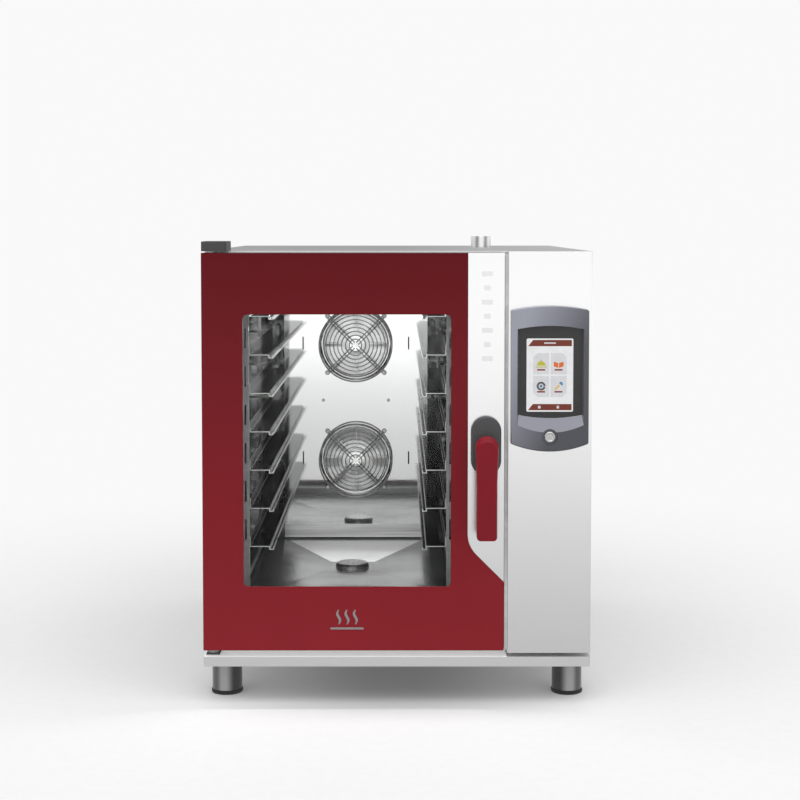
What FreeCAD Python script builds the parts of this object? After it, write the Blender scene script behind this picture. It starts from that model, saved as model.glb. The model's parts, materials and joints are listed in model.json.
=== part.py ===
"""Combi steamer oven: a parametric FreeCAD assembly, one document object per sub-part.

Millimetres. X runs to the right as seen from the front, Y to the back, Z up.
The origin is on the floor, under the middle of the oven.
"""
import FreeCAD, Part
import math
import os
import Sketcher

Vector = FreeCAD.Vector

# Driving dimensions. Depths (…_depth) are measured back from the door's front face.
DIMENSIONS = {
    # outer case
    "body_width": 788, "body_top": 921, "body_depth": 955, "door_face_y": -460,
    "sheet": 1.5, "frame_depth": 70, "frame_sheet": 2, "roof_front_depth": 62,
    "roof_hem": 1.2, "roof_hem_depth": 5, "fit_gap": 0.2,
    "column_left": 225, "column_bottom": 104, "column_edge_round": 5,
    "plinth_width": 787, "plinth_bottom": 76, "plinth_top": 96, "plinth_wall": 2,
    "plinth_round": 4, "vent_slot_length": 110, "vent_slot_height": 5, "vent_pitch": 16,
    "rear_vent_width": 150,
    # feet
    "foot_spacing_x": 710, "foot_front_depth": 90, "foot_rear_depth": 870,
    "foot_radius": 31, "foot_wall": 2, "foot_plug_top": 22, "foot_gap": 0.3,
    "pad_radius": 32.5, "pad_height": 8, "pad_edge": 1.5, "stem_radius": 8, "stem_top": 70,
    "running_gap": 0.05,
    # door
    "door_right": 217, "door_bottom": 109, "door_top": 918, "glass_thickness": 5,
    "casing_back_depth": 56, "casing_round": 3, "door_back_depth": 62,
    "red_right": 143, "red_bend_z": 349, "red_arc_radius": 60, "red_arc_end_x": 160.6,
    "red_arc_end_z": 306, "red_step_z": 249.6, "joint_gap": 0.5,
    "window_left": -319, "window_right": 117.5, "window_bottom": 226, "window_top": 802,
    "inner_glass_left": -360, "inner_glass_right": 156,
    "inner_glass_bottom": 180, "inner_glass_top": 877, "clip_size": 26, "clip_lip": 8,
    # hinges
    "hinge_x": -376, "hinge_depth": 30, "hinge_pin_radius": 6, "bush_radius": 9,
    "bush_length": 30, "bush_flange_radius": 11, "bracket_thickness": 3, "bracket_half": 14,
    "bracket_back_depth": 92, "cap_width": 50, "cap_height": 20, "cap_front_depth": 4,
    "cap_back_depth": 102, "cap_wall": 2.5, "cap_chamfer": 5,
    # handle
    "handle_x": 180, "handle_z": 530, "backplate_radius": 30.5, "backplate_top": 589,
    "backplate_bottom": 469, "backplate_thickness": 12, "backplate_chamfer": 3,
    "lever_front": 60, "lever_back": 36, "lever_top_radius": 23, "lever_bottom_z": 343,
    "lever_bottom_half": 20.5, "lever_corner": 8, "lever_slope_back": 50, "lever_side_slope": 2,
    "lever_top_slope": 8,
    "hub_radius": 19, "spindle_radius": 7, "spindle_hole": 9, "latch_front_depth": 63,
    "latch_back_depth": 67, "latch_disc_radius": 14, "latch_tongue_half": 6,
    "latch_tongue_length": 34, "keeper_thickness": 2, "keeper_half_width": 22,
    "keeper_bottom_z": 536, "keeper_top_z": 586,
    # cavity
    "cavity_left": -334, "cavity_right": 130, "cavity_bottom": 207, "cavity_top": 850,
    "cavity_back_depth": 820, "opening_round": 12, "floor_well_z": 196, "floor_well_half": 50,
    "drain_x": -102, "drain_depth": 405, "drain_hole_radius": 24, "insulation": 40,
    "gasket_outset": 16, "gasket_width": 12, "gasket_front_depth": 61.3,
    # air baffle, fans, heaters
    "baffle_depth": 693.5, "baffle_half": 175, "baffle_bottom": 208, "baffle_top": 846,
    "baffle_flange": 14, "baffle_screw_offset": 79.5, "baffle_screw_z": 546,
    "inlet_radius": 76, "inlet_roll": 6, "fan_x": -101, "fan_upper_z": 683, "fan_lower_z": 401,
    "hem_height": 12, "slit_offset_x": 129, "slit_width": 3, "slit_height": 31,
    "slit_offset_z": 3, "guard_depth": 660, "guard_wire": 1.3, "guard_radius": 88,
    "guard_first_ring": 15, "guard_ring_pitch": 9.5, "guard_wire_spacing": 3.5,
    "eyelet_radius": 4.5, "eyelet_offset": 98, "eyelet_reach": 4.4,
    "rotor_radius": 112, "rotor_hub_radius": 20,
    "rotor_back_depth": 762, "blade_inner": 34, "blade_width": 44, "blade_thickness": 1.6,
    "shaft_radius": 6, "shaft_end_depth": 890, "heater_radius": 126, "heater_tube": 4.2,
    "heater_first_depth": 716, "heater_pitch": 18, "heater_end_depth": 845,
    "motor_radius": 50, "motor_front_depth": 846, "motor_back_depth": 940,
    "motor_neck_radius": 20, "motor_bore_depth": 900, "shaft_hole_radius": 10,
    # racks
    "rack_half": 204, "rack_front_depth": 88, "rack_back_depth": 688, "rail_first_z": 306,
    "rail_pitch": 80, "shelf_width": 40, "rail_sheet": 1.5, "rail_step": 6, "rail_lip": 8,
    "rail_upturn": 4, "rail_flange": 20, "upright_width": 23, "upright_depth": 12,
    "upright_bottom": 214, "upright_top": 842, "slot_height": 44, "slot_width": 4.5,
    "slot_offset": 5.5, "slot_rise": 12, "bar_radius": 3, "spacer_radius": 5, "spacer_inset": 20,
    "bar_inset": 8, "strap_width": 28, "strap_thickness": 3, "rail_count": 7, "rail_back_depth": 692,
    # drain, exhaust, services
    "strainer_radius": 37.5, "strainer_height": 10, "strainer_sheet": 1.2,
    "drain_pipe_radius": 20, "drain_pipe_wall": 2, "drain_pipe_z": 140,
    "drain_pipe_bend": 32, "service_end_depth": 980, "exhaust_x": 203,
    "exhaust_depth": 680, "exhaust_radius": 24, "exhaust_top": 947, "exhaust_bottom": 770,
    "exhaust_stub_z": 800, "exhaust_stub_radius": 18, "spigot_step": 1, "spigot_gap": 1,
    "inlet_thread_radius": 13.2,
    "inlet_bore_radius": 9, "inlet_hex_radius": 18, "inlet_x": -250, "inlet_pitch": 70,
    "inlet_z": 140, "gland_x": 330, "gland_z": 140, "gland_radius": 12,
    "gland_bore_radius": 7, "gland_hex_radius": 17,
    # control panel
    "panel_left": 229, "panel_right": 386, "panel_corner_top_z": 803.5, "panel_corner_bottom_z": 534,
    "panel_top_arc": 376, "panel_bottom_arc": 200, "panel_thickness": 14, "panel_chamfer": 2.5,
    "glass_left": 245, "glass_right": 373, "glass_corner_top_z": 765, "glass_corner_bottom_z": 591.6,
    "glass_top_arc": 330, "glass_bottom_arc": 321, "glass_recess": 9, "facet_corner_z": 571,
    "facet_arc": 149, "touch_thickness": 3, "display_left": 261, "display_right": 355,
    "display_bottom": 598, "display_top": 746, "board_bottom": 600, "board_top": 740,
    "button_x": 308, "button_z": 547.5, "button_radius": 11, "dish_radius": 16, "dish_depth": 4,
    "button_front": 15.5, "button_back": 2, "button_hole": 13,
    # screws
    "screw_head_radius": 4, "screw_head_height": 2.2, "screw_radius": 2,
}

DOC = FreeCAD.newDocument("combi_steamer_oven")
SHEET = DOC.addObject("Spreadsheet::Sheet", "dims")
NODES = []


def fill_sheet():
    """Writes every driving dimension, with its name as alias."""
    for row, (alias, value) in enumerate(DIMENSIONS.items(), start=1):
        SHEET.set("A%d" % row, alias)
        SHEET.set("B%d" % row, str(value))
        SHEET.setAlias("B%d" % row, alias)
    DOC.recompute()


class Size:
    """A length that carries both its value and its formula in the sheet."""

    def __init__(self, value, formula):
        self.value = value
        self.formula = formula

    def combine(self, other, value, sign):
        return Size(value, "(%s %s %s)" % (self.formula, sign, other.formula))

    def __add__(self, other):
        other = as_size(other)
        return self.combine(other, self.value + other.value, "+")

    def __sub__(self, other):
        other = as_size(other)
        return self.combine(other, self.value - other.value, "-")

    def __mul__(self, other):
        other = as_size(other)
        return self.combine(other, self.value * other.value, "*")

    def __truediv__(self, other):
        other = as_size(other)
        return self.combine(other, self.value / other.value, "/")

    def __radd__(self, other):
        return as_size(other) + self

    def __rsub__(self, other):
        return as_size(other) - self

    def __rmul__(self, other):
        return as_size(other) * self

    def __neg__(self):
        return as_size(0) - self


def as_size(number):
    """A plain number as a Size; a Size stays as it is."""
    if isinstance(number, Size):
        return number
    return Size(float(number), repr(float(number)))


class Sheet:
    """Reads a cell of the sheet by its alias, as a Size."""

    def __getattr__(self, alias):
        return Size(float(SHEET.get(alias)), "dims." + alias)


d = Sheet()


def at_depth(depth):
    """The Y of a place that lies this far behind the door's front face."""
    return d.door_face_y + depth


def bind(item, prop, size):
    item.setExpression(prop, as_size(size).formula)


def move(item, x=0, y=0, z=0):
    """Binds the item's position, keeping its rotation."""
    bind(item, "Placement.Base.x", x)
    bind(item, "Placement.Base.y", y)
    bind(item, "Placement.Base.z", z)
    return item


def node(item, label):
    """Marks an object as a finished sub-part."""
    item.Label = label
    NODES.append(item)
    return item


# ---- Part primitives and booleans ----

def box(x, y, z):
    """A box between three pairs of low and high sizes."""
    item = DOC.addObject("Part::Box", "block")
    bind(item, "Length", x[1] - as_size(x[0]))
    bind(item, "Width", y[1] - as_size(y[0]))
    bind(item, "Height", z[1] - as_size(z[0]))
    return move(item, x[0], y[0], z[0])


TURN_TO = {
    "x": FreeCAD.Rotation(Vector(0, 1, 0), 90),
    "y": FreeCAD.Rotation(Vector(1, 0, 0), -90),
    "z": FreeCAD.Rotation(),
}


def on_axis(item, axis, centre, low):
    """Stands an object that was made along +Z on an axis; centre is the other two coordinates."""
    item.Placement = FreeCAD.Placement(Vector(), TURN_TO[axis])
    spot = {
        "x": (low, centre[0], centre[1]),
        "y": (centre[0], low, centre[1]),
        "z": (centre[0], centre[1], low),
    }
    return move(item, *spot[axis])


def rod(axis, centre, span, radius):
    """A cylinder along an axis over a pair of low and high sizes."""
    item = DOC.addObject("Part::Cylinder", "rod")
    bind(item, "Radius", radius)
    bind(item, "Height", span[1] - as_size(span[0]))
    return on_axis(item, axis, centre, span[0])


def wire_ring(centre, y, radius, wire):
    """A torus that faces the front, round the Y axis."""
    item = DOC.addObject("Part::Torus", "wire_ring")
    bind(item, "Radius1", radius)
    bind(item, "Radius2", wire)
    return on_axis(item, "y", centre, y)


def hexagon(axis, centre, span, radius):
    """A hexagonal prism along an axis; radius reaches its corners."""
    item = DOC.addObject("Part::Prism", "hexagon")
    item.Polygon = 6
    bind(item, "Circumradius", radius)
    bind(item, "Height", span[1] - as_size(span[0]))
    return on_axis(item, axis, centre, span[0])


def fuse(*items):
    joined = DOC.addObject("Part::MultiFuse", "joined")
    joined.Shapes = list(items)
    joined.Refine = True
    return joined


def group(*items):
    """Separate solids that make one sub-part."""
    together = DOC.addObject("Part::Compound", "together")
    together.Links = list(items)
    return together


def cut(base, *tools):
    remaining = DOC.addObject("Part::Cut", "remaining")
    remaining.Base = base
    remaining.Tool = tools[0] if len(tools) == 1 else group(*tools)
    return remaining


def tube(axis, centre, span, outer, inner):
    return cut(rod(axis, centre, span, outer), rod(axis, centre, span, inner))


# ---- PartDesign bodies ----

def new_body(label):
    return node(DOC.addObject("PartDesign::Body", label), label)


def origin_feature(body, role):
    for feature in body.Origin.OriginFeatures:
        if feature.Role == role:
            return feature
    raise ValueError("no origin feature " + role)


def new_sketch(body, plane, offset=0):
    """An empty sketch on an origin plane, moved along the plane's normal."""
    sketch = body.newObject("Sketcher::SketchObject", "sketch")
    sketch.AttachmentSupport = [(origin_feature(body, plane), "")]
    sketch.MapMode = "FlatFace"
    bind(sketch, "AttachmentOffset.Base.z", offset)
    return sketch


def facing_front(body, depth):
    """A sketch at a depth, seen from the front: its x is X, its y is Z, a pad comes forward."""
    return new_sketch(body, "XZ_Plane", -at_depth(depth))


def constrain(sketch, kind, *where_and_size):
    """Adds a dimension to the sketch and binds it to its formula."""
    where = where_and_size[:-1]
    size = as_size(where_and_size[-1])
    index = sketch.addConstraint(Sketcher.Constraint(kind, *where, size.value))
    sketch.setExpression("Constraints[%d]" % index, size.formula)


def bulge_point(start, end, radius, side):
    """The middle of an arc from start to end; side +1 bulges to the left of the way, -1 to the right."""
    chord = end - start
    half = chord.Length / 2
    rise = radius - math.sqrt(radius * radius - half * half)
    return (start + end) * 0.5 + Vector(-chord.y, chord.x, 0).normalize() * rise * side


def edge_end(sketch, edge, point):
    """Which end of a sketch edge, 1 or 2, lies on a point."""
    near = sketch.getPoint(edge, 1).distanceToPoint(point)
    far = sketch.getPoint(edge, 2).distanceToPoint(point)
    return 1 if near < far else 2


def draw_outline(sketch, corners):
    """A closed outline. A corner is (x, y), or (x, y, radius, side) where an arc leads on from it."""
    spots = [Vector(as_size(c[0]).value, as_size(c[1]).value, 0) for c in corners]
    count = len(corners)
    edges = []
    for index, corner in enumerate(corners):
        start, end = spots[index], spots[(index + 1) % count]
        if len(corner) == 2:
            edges.append(sketch.addGeometry(Part.LineSegment(start, end), False))
            continue
        radius = as_size(corner[2])
        middle = bulge_point(start, end, radius.value, corner[3])
        edges.append(sketch.addGeometry(Part.Arc(start, middle, end), False))
        constrain(sketch, "Radius", edges[-1], radius)
    for index, corner in enumerate(corners):
        here, before = edges[index], edges[index - 1]
        end_here = edge_end(sketch, here, spots[index])
        end_before = edge_end(sketch, before, spots[index])
        sketch.addConstraint(Sketcher.Constraint("Coincident", before, end_before, here, end_here))
        constrain(sketch, "DistanceX", -1, 1, here, end_here, corner[0])
        constrain(sketch, "DistanceY", -1, 1, here, end_here, corner[1])


def draw_rectangle(sketch, x, y):
    draw_outline(sketch, [(x[0], y[0]), (x[1], y[0]), (x[1], y[1]), (x[0], y[1])])


def draw_circle(sketch, x, y, radius):
    x, y, radius = as_size(x), as_size(y), as_size(radius)
    circle = Part.Circle(Vector(x.value, y.value, 0), Vector(0, 0, 1), radius.value)
    edge = sketch.addGeometry(circle, False)
    constrain(sketch, "Radius", edge, radius)
    constrain(sketch, "DistanceX", -1, 1, edge, 3, x)
    constrain(sketch, "DistanceY", -1, 1, edge, 3, y)


def pad(body, sketch, length):
    """Adds material along the sketch's normal."""
    feature = body.newObject("PartDesign::Pad", "pad")
    feature.Profile = sketch
    bind(feature, "Length", length)
    DOC.recompute()
    return feature


def pocket(body, sketch, length, along_normal=False):
    """Cuts against the sketch's normal, or along it, and checks that material was removed."""
    before = body.Shape.Volume
    feature = body.newObject("PartDesign::Pocket", "pocket")
    feature.Profile = sketch
    feature.Reversed = along_normal
    bind(feature, "Length", length)
    DOC.recompute()
    if not body.Shape.Volume < before:
        raise ValueError("a pocket of %s cuts nothing" % body.Label)
    return feature


def revolve(body, sketch):
    """Turns the sketch's profile round its own vertical axis."""
    feature = body.newObject("PartDesign::Revolution", "revolution")
    feature.Profile = sketch
    feature.ReferenceAxis = (sketch, ["V_Axis"])
    feature.Angle = 360
    DOC.recompute()
    return feature


def row_of(body, feature, sketch, axis, length, count):
    """Repeats a feature along the sketch's H_Axis or V_Axis."""
    row = body.newObject("PartDesign::LinearPattern", "row")
    row.Originals = [feature]
    row.Direction = (sketch, [axis])
    bind(row, "Length", length)
    row.Occurrences = count
    body.Tip = row
    DOC.recompute()
    return row


def ring_of(body, feature, count):
    """Repeats a feature round the body's Z axis."""
    ring = body.newObject("PartDesign::PolarPattern", "ring")
    ring.Originals = [feature]
    ring.Axis = (origin_feature(body, "Z_Axis"), [""])
    ring.Angle = 360
    ring.Occurrences = count
    body.Tip = ring
    DOC.recompute()
    return ring


def edges_where(body, test):
    """Names of the body's edges whose bounding box and direction pass a test."""
    names = []
    for number, edge in enumerate(body.Shape.Edges, start=1):
        if test(edge, edge.BoundBox):
            names.append("Edge%d" % number)
    if not names:
        raise ValueError("no edge of %s passes the test" % body.Label)
    return names


def soften(body, kind, prop, size, test):
    """Fillets or chamfers the edges that pass a test."""
    base = body.Tip
    names = edges_where(body, test)
    feature = body.newObject(kind, "edge_finish")
    feature.Base = (base, names)
    bind(feature, prop, size)
    DOC.recompute()
    return feature


def fillet(body, radius, test):
    return soften(body, "PartDesign::Fillet", "Radius", radius, test)


def chamfer(body, size, test):
    return soften(body, "PartDesign::Chamfer", "Size", size, test)


def is_along(edge, axis):
    """Whether an edge is a straight one along X, Y or Z (0, 1 or 2)."""
    start, end = edge.Vertexes[0].Point, edge.Vertexes[-1].Point
    way = end - start
    return edge.Curve.TypeId == "Part::GeomLine" and abs(way[axis]) > 0.999 * way.Length


def turned_body(label, profile, axis="z", centre=(0, 0), low=0):
    """A body of revolution; its profile is a list of (radius, height) corners."""
    body = new_body(label)
    sketch = new_sketch(body, "XZ_Plane")
    draw_outline(sketch, profile)
    revolve(body, sketch)
    on_axis(body, axis, centre, low)
    return body


# ---- case ----

def half_width():
    return d.body_width / 2


def make_plinth():
    body = new_body("base_plinth")
    half = d.plinth_width / 2
    back = at_depth(d.body_depth)
    outline = new_sketch(body, "XY_Plane", d.plinth_bottom)
    draw_rectangle(outline, (-half, half), (at_depth(0), back))
    pad(body, outline, d.plinth_top - d.plinth_bottom)
    fillet(body, d.plinth_round, lambda edge, _: is_along(edge, 2))
    wall = d.plinth_wall
    hollow = new_sketch(body, "XY_Plane", d.plinth_bottom)
    draw_rectangle(hollow, (wall - half, half - wall), (at_depth(wall), back - wall))
    pocket(body, hollow, d.plinth_top - d.plinth_bottom - wall, along_normal=True)


def make_side_panel(label, low_x):
    """A flat side sheet with a row of vent slots low at the back."""
    body = new_body(label)
    outline = new_sketch(body, "YZ_Plane", low_x)
    draw_rectangle(outline, (at_depth(d.frame_depth), at_depth(d.body_depth)),
                   (d.plinth_top, d.body_top - d.sheet))
    pad(body, outline, d.sheet)
    slot = new_sketch(body, "YZ_Plane", low_x)
    back = at_depth(d.body_depth) - 90
    low_z = d.plinth_top + 60
    draw_rectangle(slot, (back - d.vent_slot_length, back), (low_z, low_z + d.vent_slot_height))
    cut_slot = pocket(body, slot, d.sheet, along_normal=True)
    row_of(body, cut_slot, slot, "V_Axis", d.vent_pitch * 9, 10)


def make_roof():
    """The top sheet: hemmed over the door, set back where the control column covers it."""
    half = half_width()
    roof = box((-half, half), (at_depth(d.roof_front_depth), at_depth(d.body_depth)),
               (d.body_top - d.sheet, d.body_top))
    front = at_depth(d.roof_front_depth)
    under = d.body_top - d.sheet
    hem = box((-half, d.column_left), (front, front + d.roof_hem_depth), (under - d.roof_hem, under))
    column = box((d.column_left, half), (front, at_depth(d.frame_depth)), (under, d.body_top))
    hole = rod("z", (d.exhaust_x, at_depth(d.exhaust_depth)), (under - 1, d.body_top + 1),
               d.exhaust_radius - d.spigot_step + d.fit_gap)
    node(cut(fuse(roof, hem), column, hole), "roof_panel")


def service_spots():
    """Centres (x, z) and radii of what passes through the rear panel."""
    return [
        (d.drain_x, d.drain_pipe_z, d.drain_pipe_radius - d.spigot_step + d.fit_gap),
        (d.inlet_x, d.inlet_z, d.inlet_thread_radius + d.fit_gap),
        (d.inlet_x + d.inlet_pitch, d.inlet_z, d.inlet_thread_radius + d.fit_gap),
        (d.gland_x, d.gland_z, d.gland_radius + d.fit_gap),
    ]


def rear_screw_spots():
    """Screws round the rear panel's edge: two columns and the middle of the top and bottom."""
    side = half_width() - 12
    low, high = d.plinth_top + 14, d.body_top - 16
    spots = [(sign * side, low + (high - low) * step / 4) for sign in (-1, 1) for step in range(5)]
    spots += [(as_size(0), low), (as_size(0), high)]
    return spots


def make_rear_panel():
    body = new_body("rear_panel")
    half = half_width() - d.sheet
    outline = facing_front(body, d.body_depth)
    draw_rectangle(outline, (-half, half), (d.plinth_top, d.body_top - d.sheet))
    pad(body, outline, d.sheet)
    holes = facing_front(body, d.body_depth)
    for x, z, radius in service_spots():
        draw_circle(holes, x, z, radius)
    for x, z in rear_screw_spots():
        draw_circle(holes, x, z, d.screw_radius + 0.1)
    pocket(body, holes, d.sheet, along_normal=True)
    slot = facing_front(body, d.body_depth)
    low_z = d.body_top - 190
    left = d.exhaust_x - d.rear_vent_width / 2
    draw_rectangle(slot, (left, left + d.rear_vent_width), (low_z, low_z + d.vent_slot_height))
    cut_slot = pocket(body, slot, d.sheet, along_normal=True)
    row_of(body, cut_slot, slot, "V_Axis", d.vent_pitch * 7, 8)


def make_column_panel():
    """The folded cover at the right of the front: open at the back, cut out for the controls."""
    body = new_body("control_column_panel")
    right = half_width()
    outline = facing_front(body, d.frame_depth)
    draw_rectangle(outline, (d.column_left, right), (d.column_bottom, d.body_top))
    pad(body, outline, d.frame_depth)
    front_y = at_depth(0).value
    edge_x = right.value
    fillet(body, d.column_edge_round, lambda edge, box_: is_along(edge, 2)
           and abs(box_.XMax - edge_x) < 0.1 and abs(box_.YMin - front_y) < 0.1)
    hollow = facing_front(body, d.frame_depth)
    draw_rectangle(hollow, (d.column_left + d.sheet, right - d.sheet),
                   (d.column_bottom + d.sheet, d.body_top - d.sheet))
    pocket(body, hollow, d.frame_depth - d.column_edge_round, along_normal=True)
    front = facing_front(body, d.column_edge_round)
    draw_rectangle(front, (d.column_left + d.sheet, right - d.column_edge_round),
                   (d.column_bottom + d.sheet, d.body_top - d.sheet))
    pocket(body, front, d.column_edge_round - d.sheet, along_normal=True)
    window = facing_front(body, d.sheet)
    draw_rectangle(window, (d.display_left - 2, d.display_right + 2),
                   (d.display_bottom - 2, d.display_top + 2))
    draw_circle(window, d.button_x, d.button_z, d.button_hole)
    pocket(body, window, d.sheet, along_normal=True)


def make_front_frame():
    """The bulkhead sheet that the cavity is welded into."""
    body = new_body("front_frame")
    half = half_width() - d.sheet
    outline = facing_front(body, d.frame_depth + d.frame_sheet)
    draw_rectangle(outline, (-half, half), (d.plinth_top, d.body_top - d.sheet))
    pad(body, outline, d.frame_sheet)
    mouth = facing_front(body, d.frame_depth + d.frame_sheet)
    draw_rectangle(mouth, (d.cavity_left, d.cavity_right), (d.cavity_bottom, d.cavity_top))
    pocket(body, mouth, d.frame_sheet, along_normal=True)
    low, high = d.cavity_bottom.value, d.cavity_top.value
    left, right = d.cavity_left.value, d.cavity_right.value
    fillet(body, d.opening_round, lambda edge, box_: is_along(edge, 1)
           and low - 1 < box_.ZMin < high + 1 and left - 1 < box_.XMin < right + 1)


def make_feet():
    """Four tubes with a plug at the bottom, and four pads that screw up into them."""
    half = d.foot_spacing_x / 2
    places = {
        "front_left": (-half, d.foot_front_depth), "front_right": (half, d.foot_front_depth),
        "rear_left": (-half, d.foot_rear_depth), "rear_right": (half, d.foot_rear_depth),
    }
    bottom = d.pad_height + d.foot_gap
    top = d.plinth_top - d.plinth_wall
    bore = d.stem_radius + d.running_gap
    inner = d.foot_radius - d.foot_wall
    for place, (x, depth) in places.items():
        centre = (x, at_depth(depth))
        turned_body("foot_tube_" + place, [
            (bore, bottom), (d.foot_radius, bottom), (d.foot_radius, top), (inner, top),
            (inner, d.foot_plug_top), (bore, d.foot_plug_top)], centre=centre)
        edge = d.pad_edge
        turned_body("foot_pad_" + place, [
            (0, 0), (d.pad_radius - edge, 0), (d.pad_radius, edge),
            (d.pad_radius, d.pad_height - edge), (d.pad_radius - edge, d.pad_height),
            (d.stem_radius, d.pad_height), (d.stem_radius, d.stem_top), (0, d.stem_top)],
            centre=centre)


# ---- door ----

def make_outer_glass():
    """The enamelled pane: its right edge steps outward below the handle."""
    body = new_body("door_outer_glass")
    outline = facing_front(body, d.glass_thickness)
    draw_outline(outline, [
        (-half_width(), d.door_bottom), (d.door_right, d.door_bottom),
        (d.door_right, d.red_step_z), (d.red_arc_end_x, d.red_arc_end_z, d.red_arc_radius, 1),
        (d.red_right, d.red_bend_z), (d.red_right, d.door_top), (-half_width(), d.door_top)])
    pad(body, outline, d.glass_thickness)


def make_trim_plate():
    """The bright plate beside the glass, which carries the handle."""
    body = new_body("door_trim_plate")
    gap = d.joint_gap
    outline = facing_front(body, d.glass_thickness)
    draw_outline(outline, [
        (d.red_right + gap, d.door_top),
        (d.red_right + gap, d.red_bend_z, d.red_arc_radius, -1),
        (d.red_arc_end_x + gap, d.red_arc_end_z),
        (d.door_right, d.red_step_z + gap), (d.door_right, d.door_top)])
    pad(body, outline, d.glass_thickness)
    hole = facing_front(body, d.glass_thickness)
    draw_circle(hole, d.handle_x, d.handle_z, d.spindle_hole)
    pocket(body, hole, d.glass_thickness, along_normal=True)


def make_casing():
    """A folded channel round the window, open to the front, with two hinge blocks."""
    body = new_body("door_casing")
    left, right = -half_width(), d.door_right
    depth = d.casing_back_depth - d.glass_thickness
    outline = facing_front(body, d.casing_back_depth)
    draw_rectangle(outline, (left, right), (d.door_bottom, d.door_top))
    pad(body, outline, depth)
    fillet(body, d.casing_round, lambda edge, _: is_along(edge, 1))
    window = facing_front(body, d.casing_back_depth)
    window_x, window_z = (d.window_left, d.window_right), (d.window_bottom, d.window_top)
    draw_rectangle(window, window_x, window_z)
    pocket(body, window, depth, along_normal=True)
    wall = d.sheet
    block_right = d.hinge_x + d.bush_radius + 6
    low_block, high_block = d.door_bottom + d.bush_length, d.door_top - d.bush_length
    channel = facing_front(body, d.casing_back_depth - wall)
    draw_outline(channel, [
        (left + wall, low_block), (block_right, low_block),
        (block_right, d.door_bottom + wall), (right - wall, d.door_bottom + wall),
        (right - wall, d.door_top - wall), (block_right, d.door_top - wall),
        (block_right, high_block), (left + wall, high_block)])
    draw_rectangle(channel, (d.window_left - wall, d.window_right + wall),
                   (d.window_bottom - wall, d.window_top + wall))
    pocket(body, channel, depth - wall, along_normal=True)
    spindle = facing_front(body, d.casing_back_depth)
    draw_circle(spindle, d.handle_x, d.handle_z, d.spindle_radius + d.running_gap)
    pocket(body, spindle, depth, along_normal=True)
    for low in (d.door_bottom, high_block):
        bush = new_sketch(body, "XY_Plane", low)
        draw_circle(bush, d.hinge_x, at_depth(d.hinge_depth), d.bush_radius)
        pocket(body, bush, d.bush_length, along_normal=True)


def make_inner_glass():
    pane = box((d.inner_glass_left, d.inner_glass_right),
               (at_depth(d.casing_back_depth), at_depth(d.casing_back_depth) + d.glass_thickness),
               (d.inner_glass_bottom, d.inner_glass_top))
    node(pane, "door_inner_glass")


def make_glass_clips():
    """Four clips that hold the inner pane by its corners' side edges."""
    front = at_depth(d.casing_back_depth)
    lip_front = front + d.glass_thickness
    back = at_depth(d.door_back_depth)
    clips = []
    sides = [(d.inner_glass_left, -1), (d.inner_glass_right, 1)]
    for edge, sign in sides:
        for low in (d.inner_glass_bottom + 40, d.inner_glass_top - 40 - d.clip_size):
            span = (low, low + d.clip_size)
            outer = edge + sign * d.clip_size
            inner = edge - sign * d.clip_lip
            foot_x = (outer, edge) if sign < 0 else (edge, outer)
            lip_x = (outer, inner) if sign < 0 else (inner, outer)
            clips.append(fuse(box(foot_x, (front, lip_front), span), box(lip_x, (lip_front, back), span)))
    node(group(*clips), "door_glass_clips")


def make_door_bushes():
    """Plastic bushes in the door's top and bottom; the lower one carries the door's weight."""
    centre = (d.hinge_x, at_depth(d.hinge_depth))
    bore = d.hinge_pin_radius + d.running_gap
    flange_bottom = d.plinth_top + d.bracket_thickness + d.foot_gap
    lower = cut(
        fuse(rod("z", centre, (d.door_bottom, d.door_bottom + d.bush_length), d.bush_radius),
             rod("z", centre, (flange_bottom, d.door_bottom), d.bush_flange_radius)),
        rod("z", centre, (flange_bottom - 1, d.door_bottom + d.bush_length + 1), bore))
    upper = tube("z", centre, (d.door_top - d.bush_length, d.door_top), d.bush_radius, bore)
    node(group(lower, upper), "door_bushes")


# ---- hinges ----

def make_hinge_brackets():
    """A plate and a pin above the door, and the same below it."""
    centre = (d.hinge_x, at_depth(d.hinge_depth))
    sides = (d.hinge_x - d.bracket_half, d.hinge_x + d.bracket_half)
    front = at_depth(d.hinge_depth) - d.bracket_half
    roof = d.body_top
    upper = fuse(
        box(sides, (front, at_depth(d.bracket_back_depth)), (roof, roof + d.bracket_thickness)),
        rod("z", centre, (d.door_top - d.bush_length + 2, roof + d.bracket_thickness), d.hinge_pin_radius))
    node(upper, "upper_hinge_bracket")
    base = d.plinth_top
    lower = fuse(
        box(sides, (front, at_depth(d.roof_front_depth)), (base, base + d.bracket_thickness)),
        rod("z", centre, (base, d.door_bottom + d.bush_length - 2), d.hinge_pin_radius))
    node(lower, "lower_hinge_bracket")


def make_hinge_cover():
    """The moulded cap over the upper hinge, hollow from below."""
    body = new_body("upper_hinge_cover")
    left, right = -half_width(), d.cap_width - half_width()
    front, back = at_depth(d.cap_front_depth), at_depth(d.cap_back_depth)
    outline = new_sketch(body, "XY_Plane", d.body_top)
    bevel = d.cap_chamfer
    draw_outline(outline, [(left, front), (right - bevel, front), (right, front + bevel * 2),
                           (right, back), (left, back)])
    pad(body, outline, d.cap_height)
    top_z = (d.body_top + d.cap_height).value
    chamfer(body, d.cap_chamfer / 4, lambda edge, box_: box_.ZMin > top_z - 0.1)
    wall = d.cap_wall
    hollow = new_sketch(body, "XY_Plane", d.body_top)
    draw_outline(hollow, [(left + wall, front + wall), (right - bevel - wall, front + wall),
                          (right - wall, front + bevel * 2 + wall), (right - wall, back - wall),
                          (left + wall, back - wall)])
    pocket(body, hollow, d.cap_height - wall, along_normal=True)


# ---- handle ----

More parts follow.
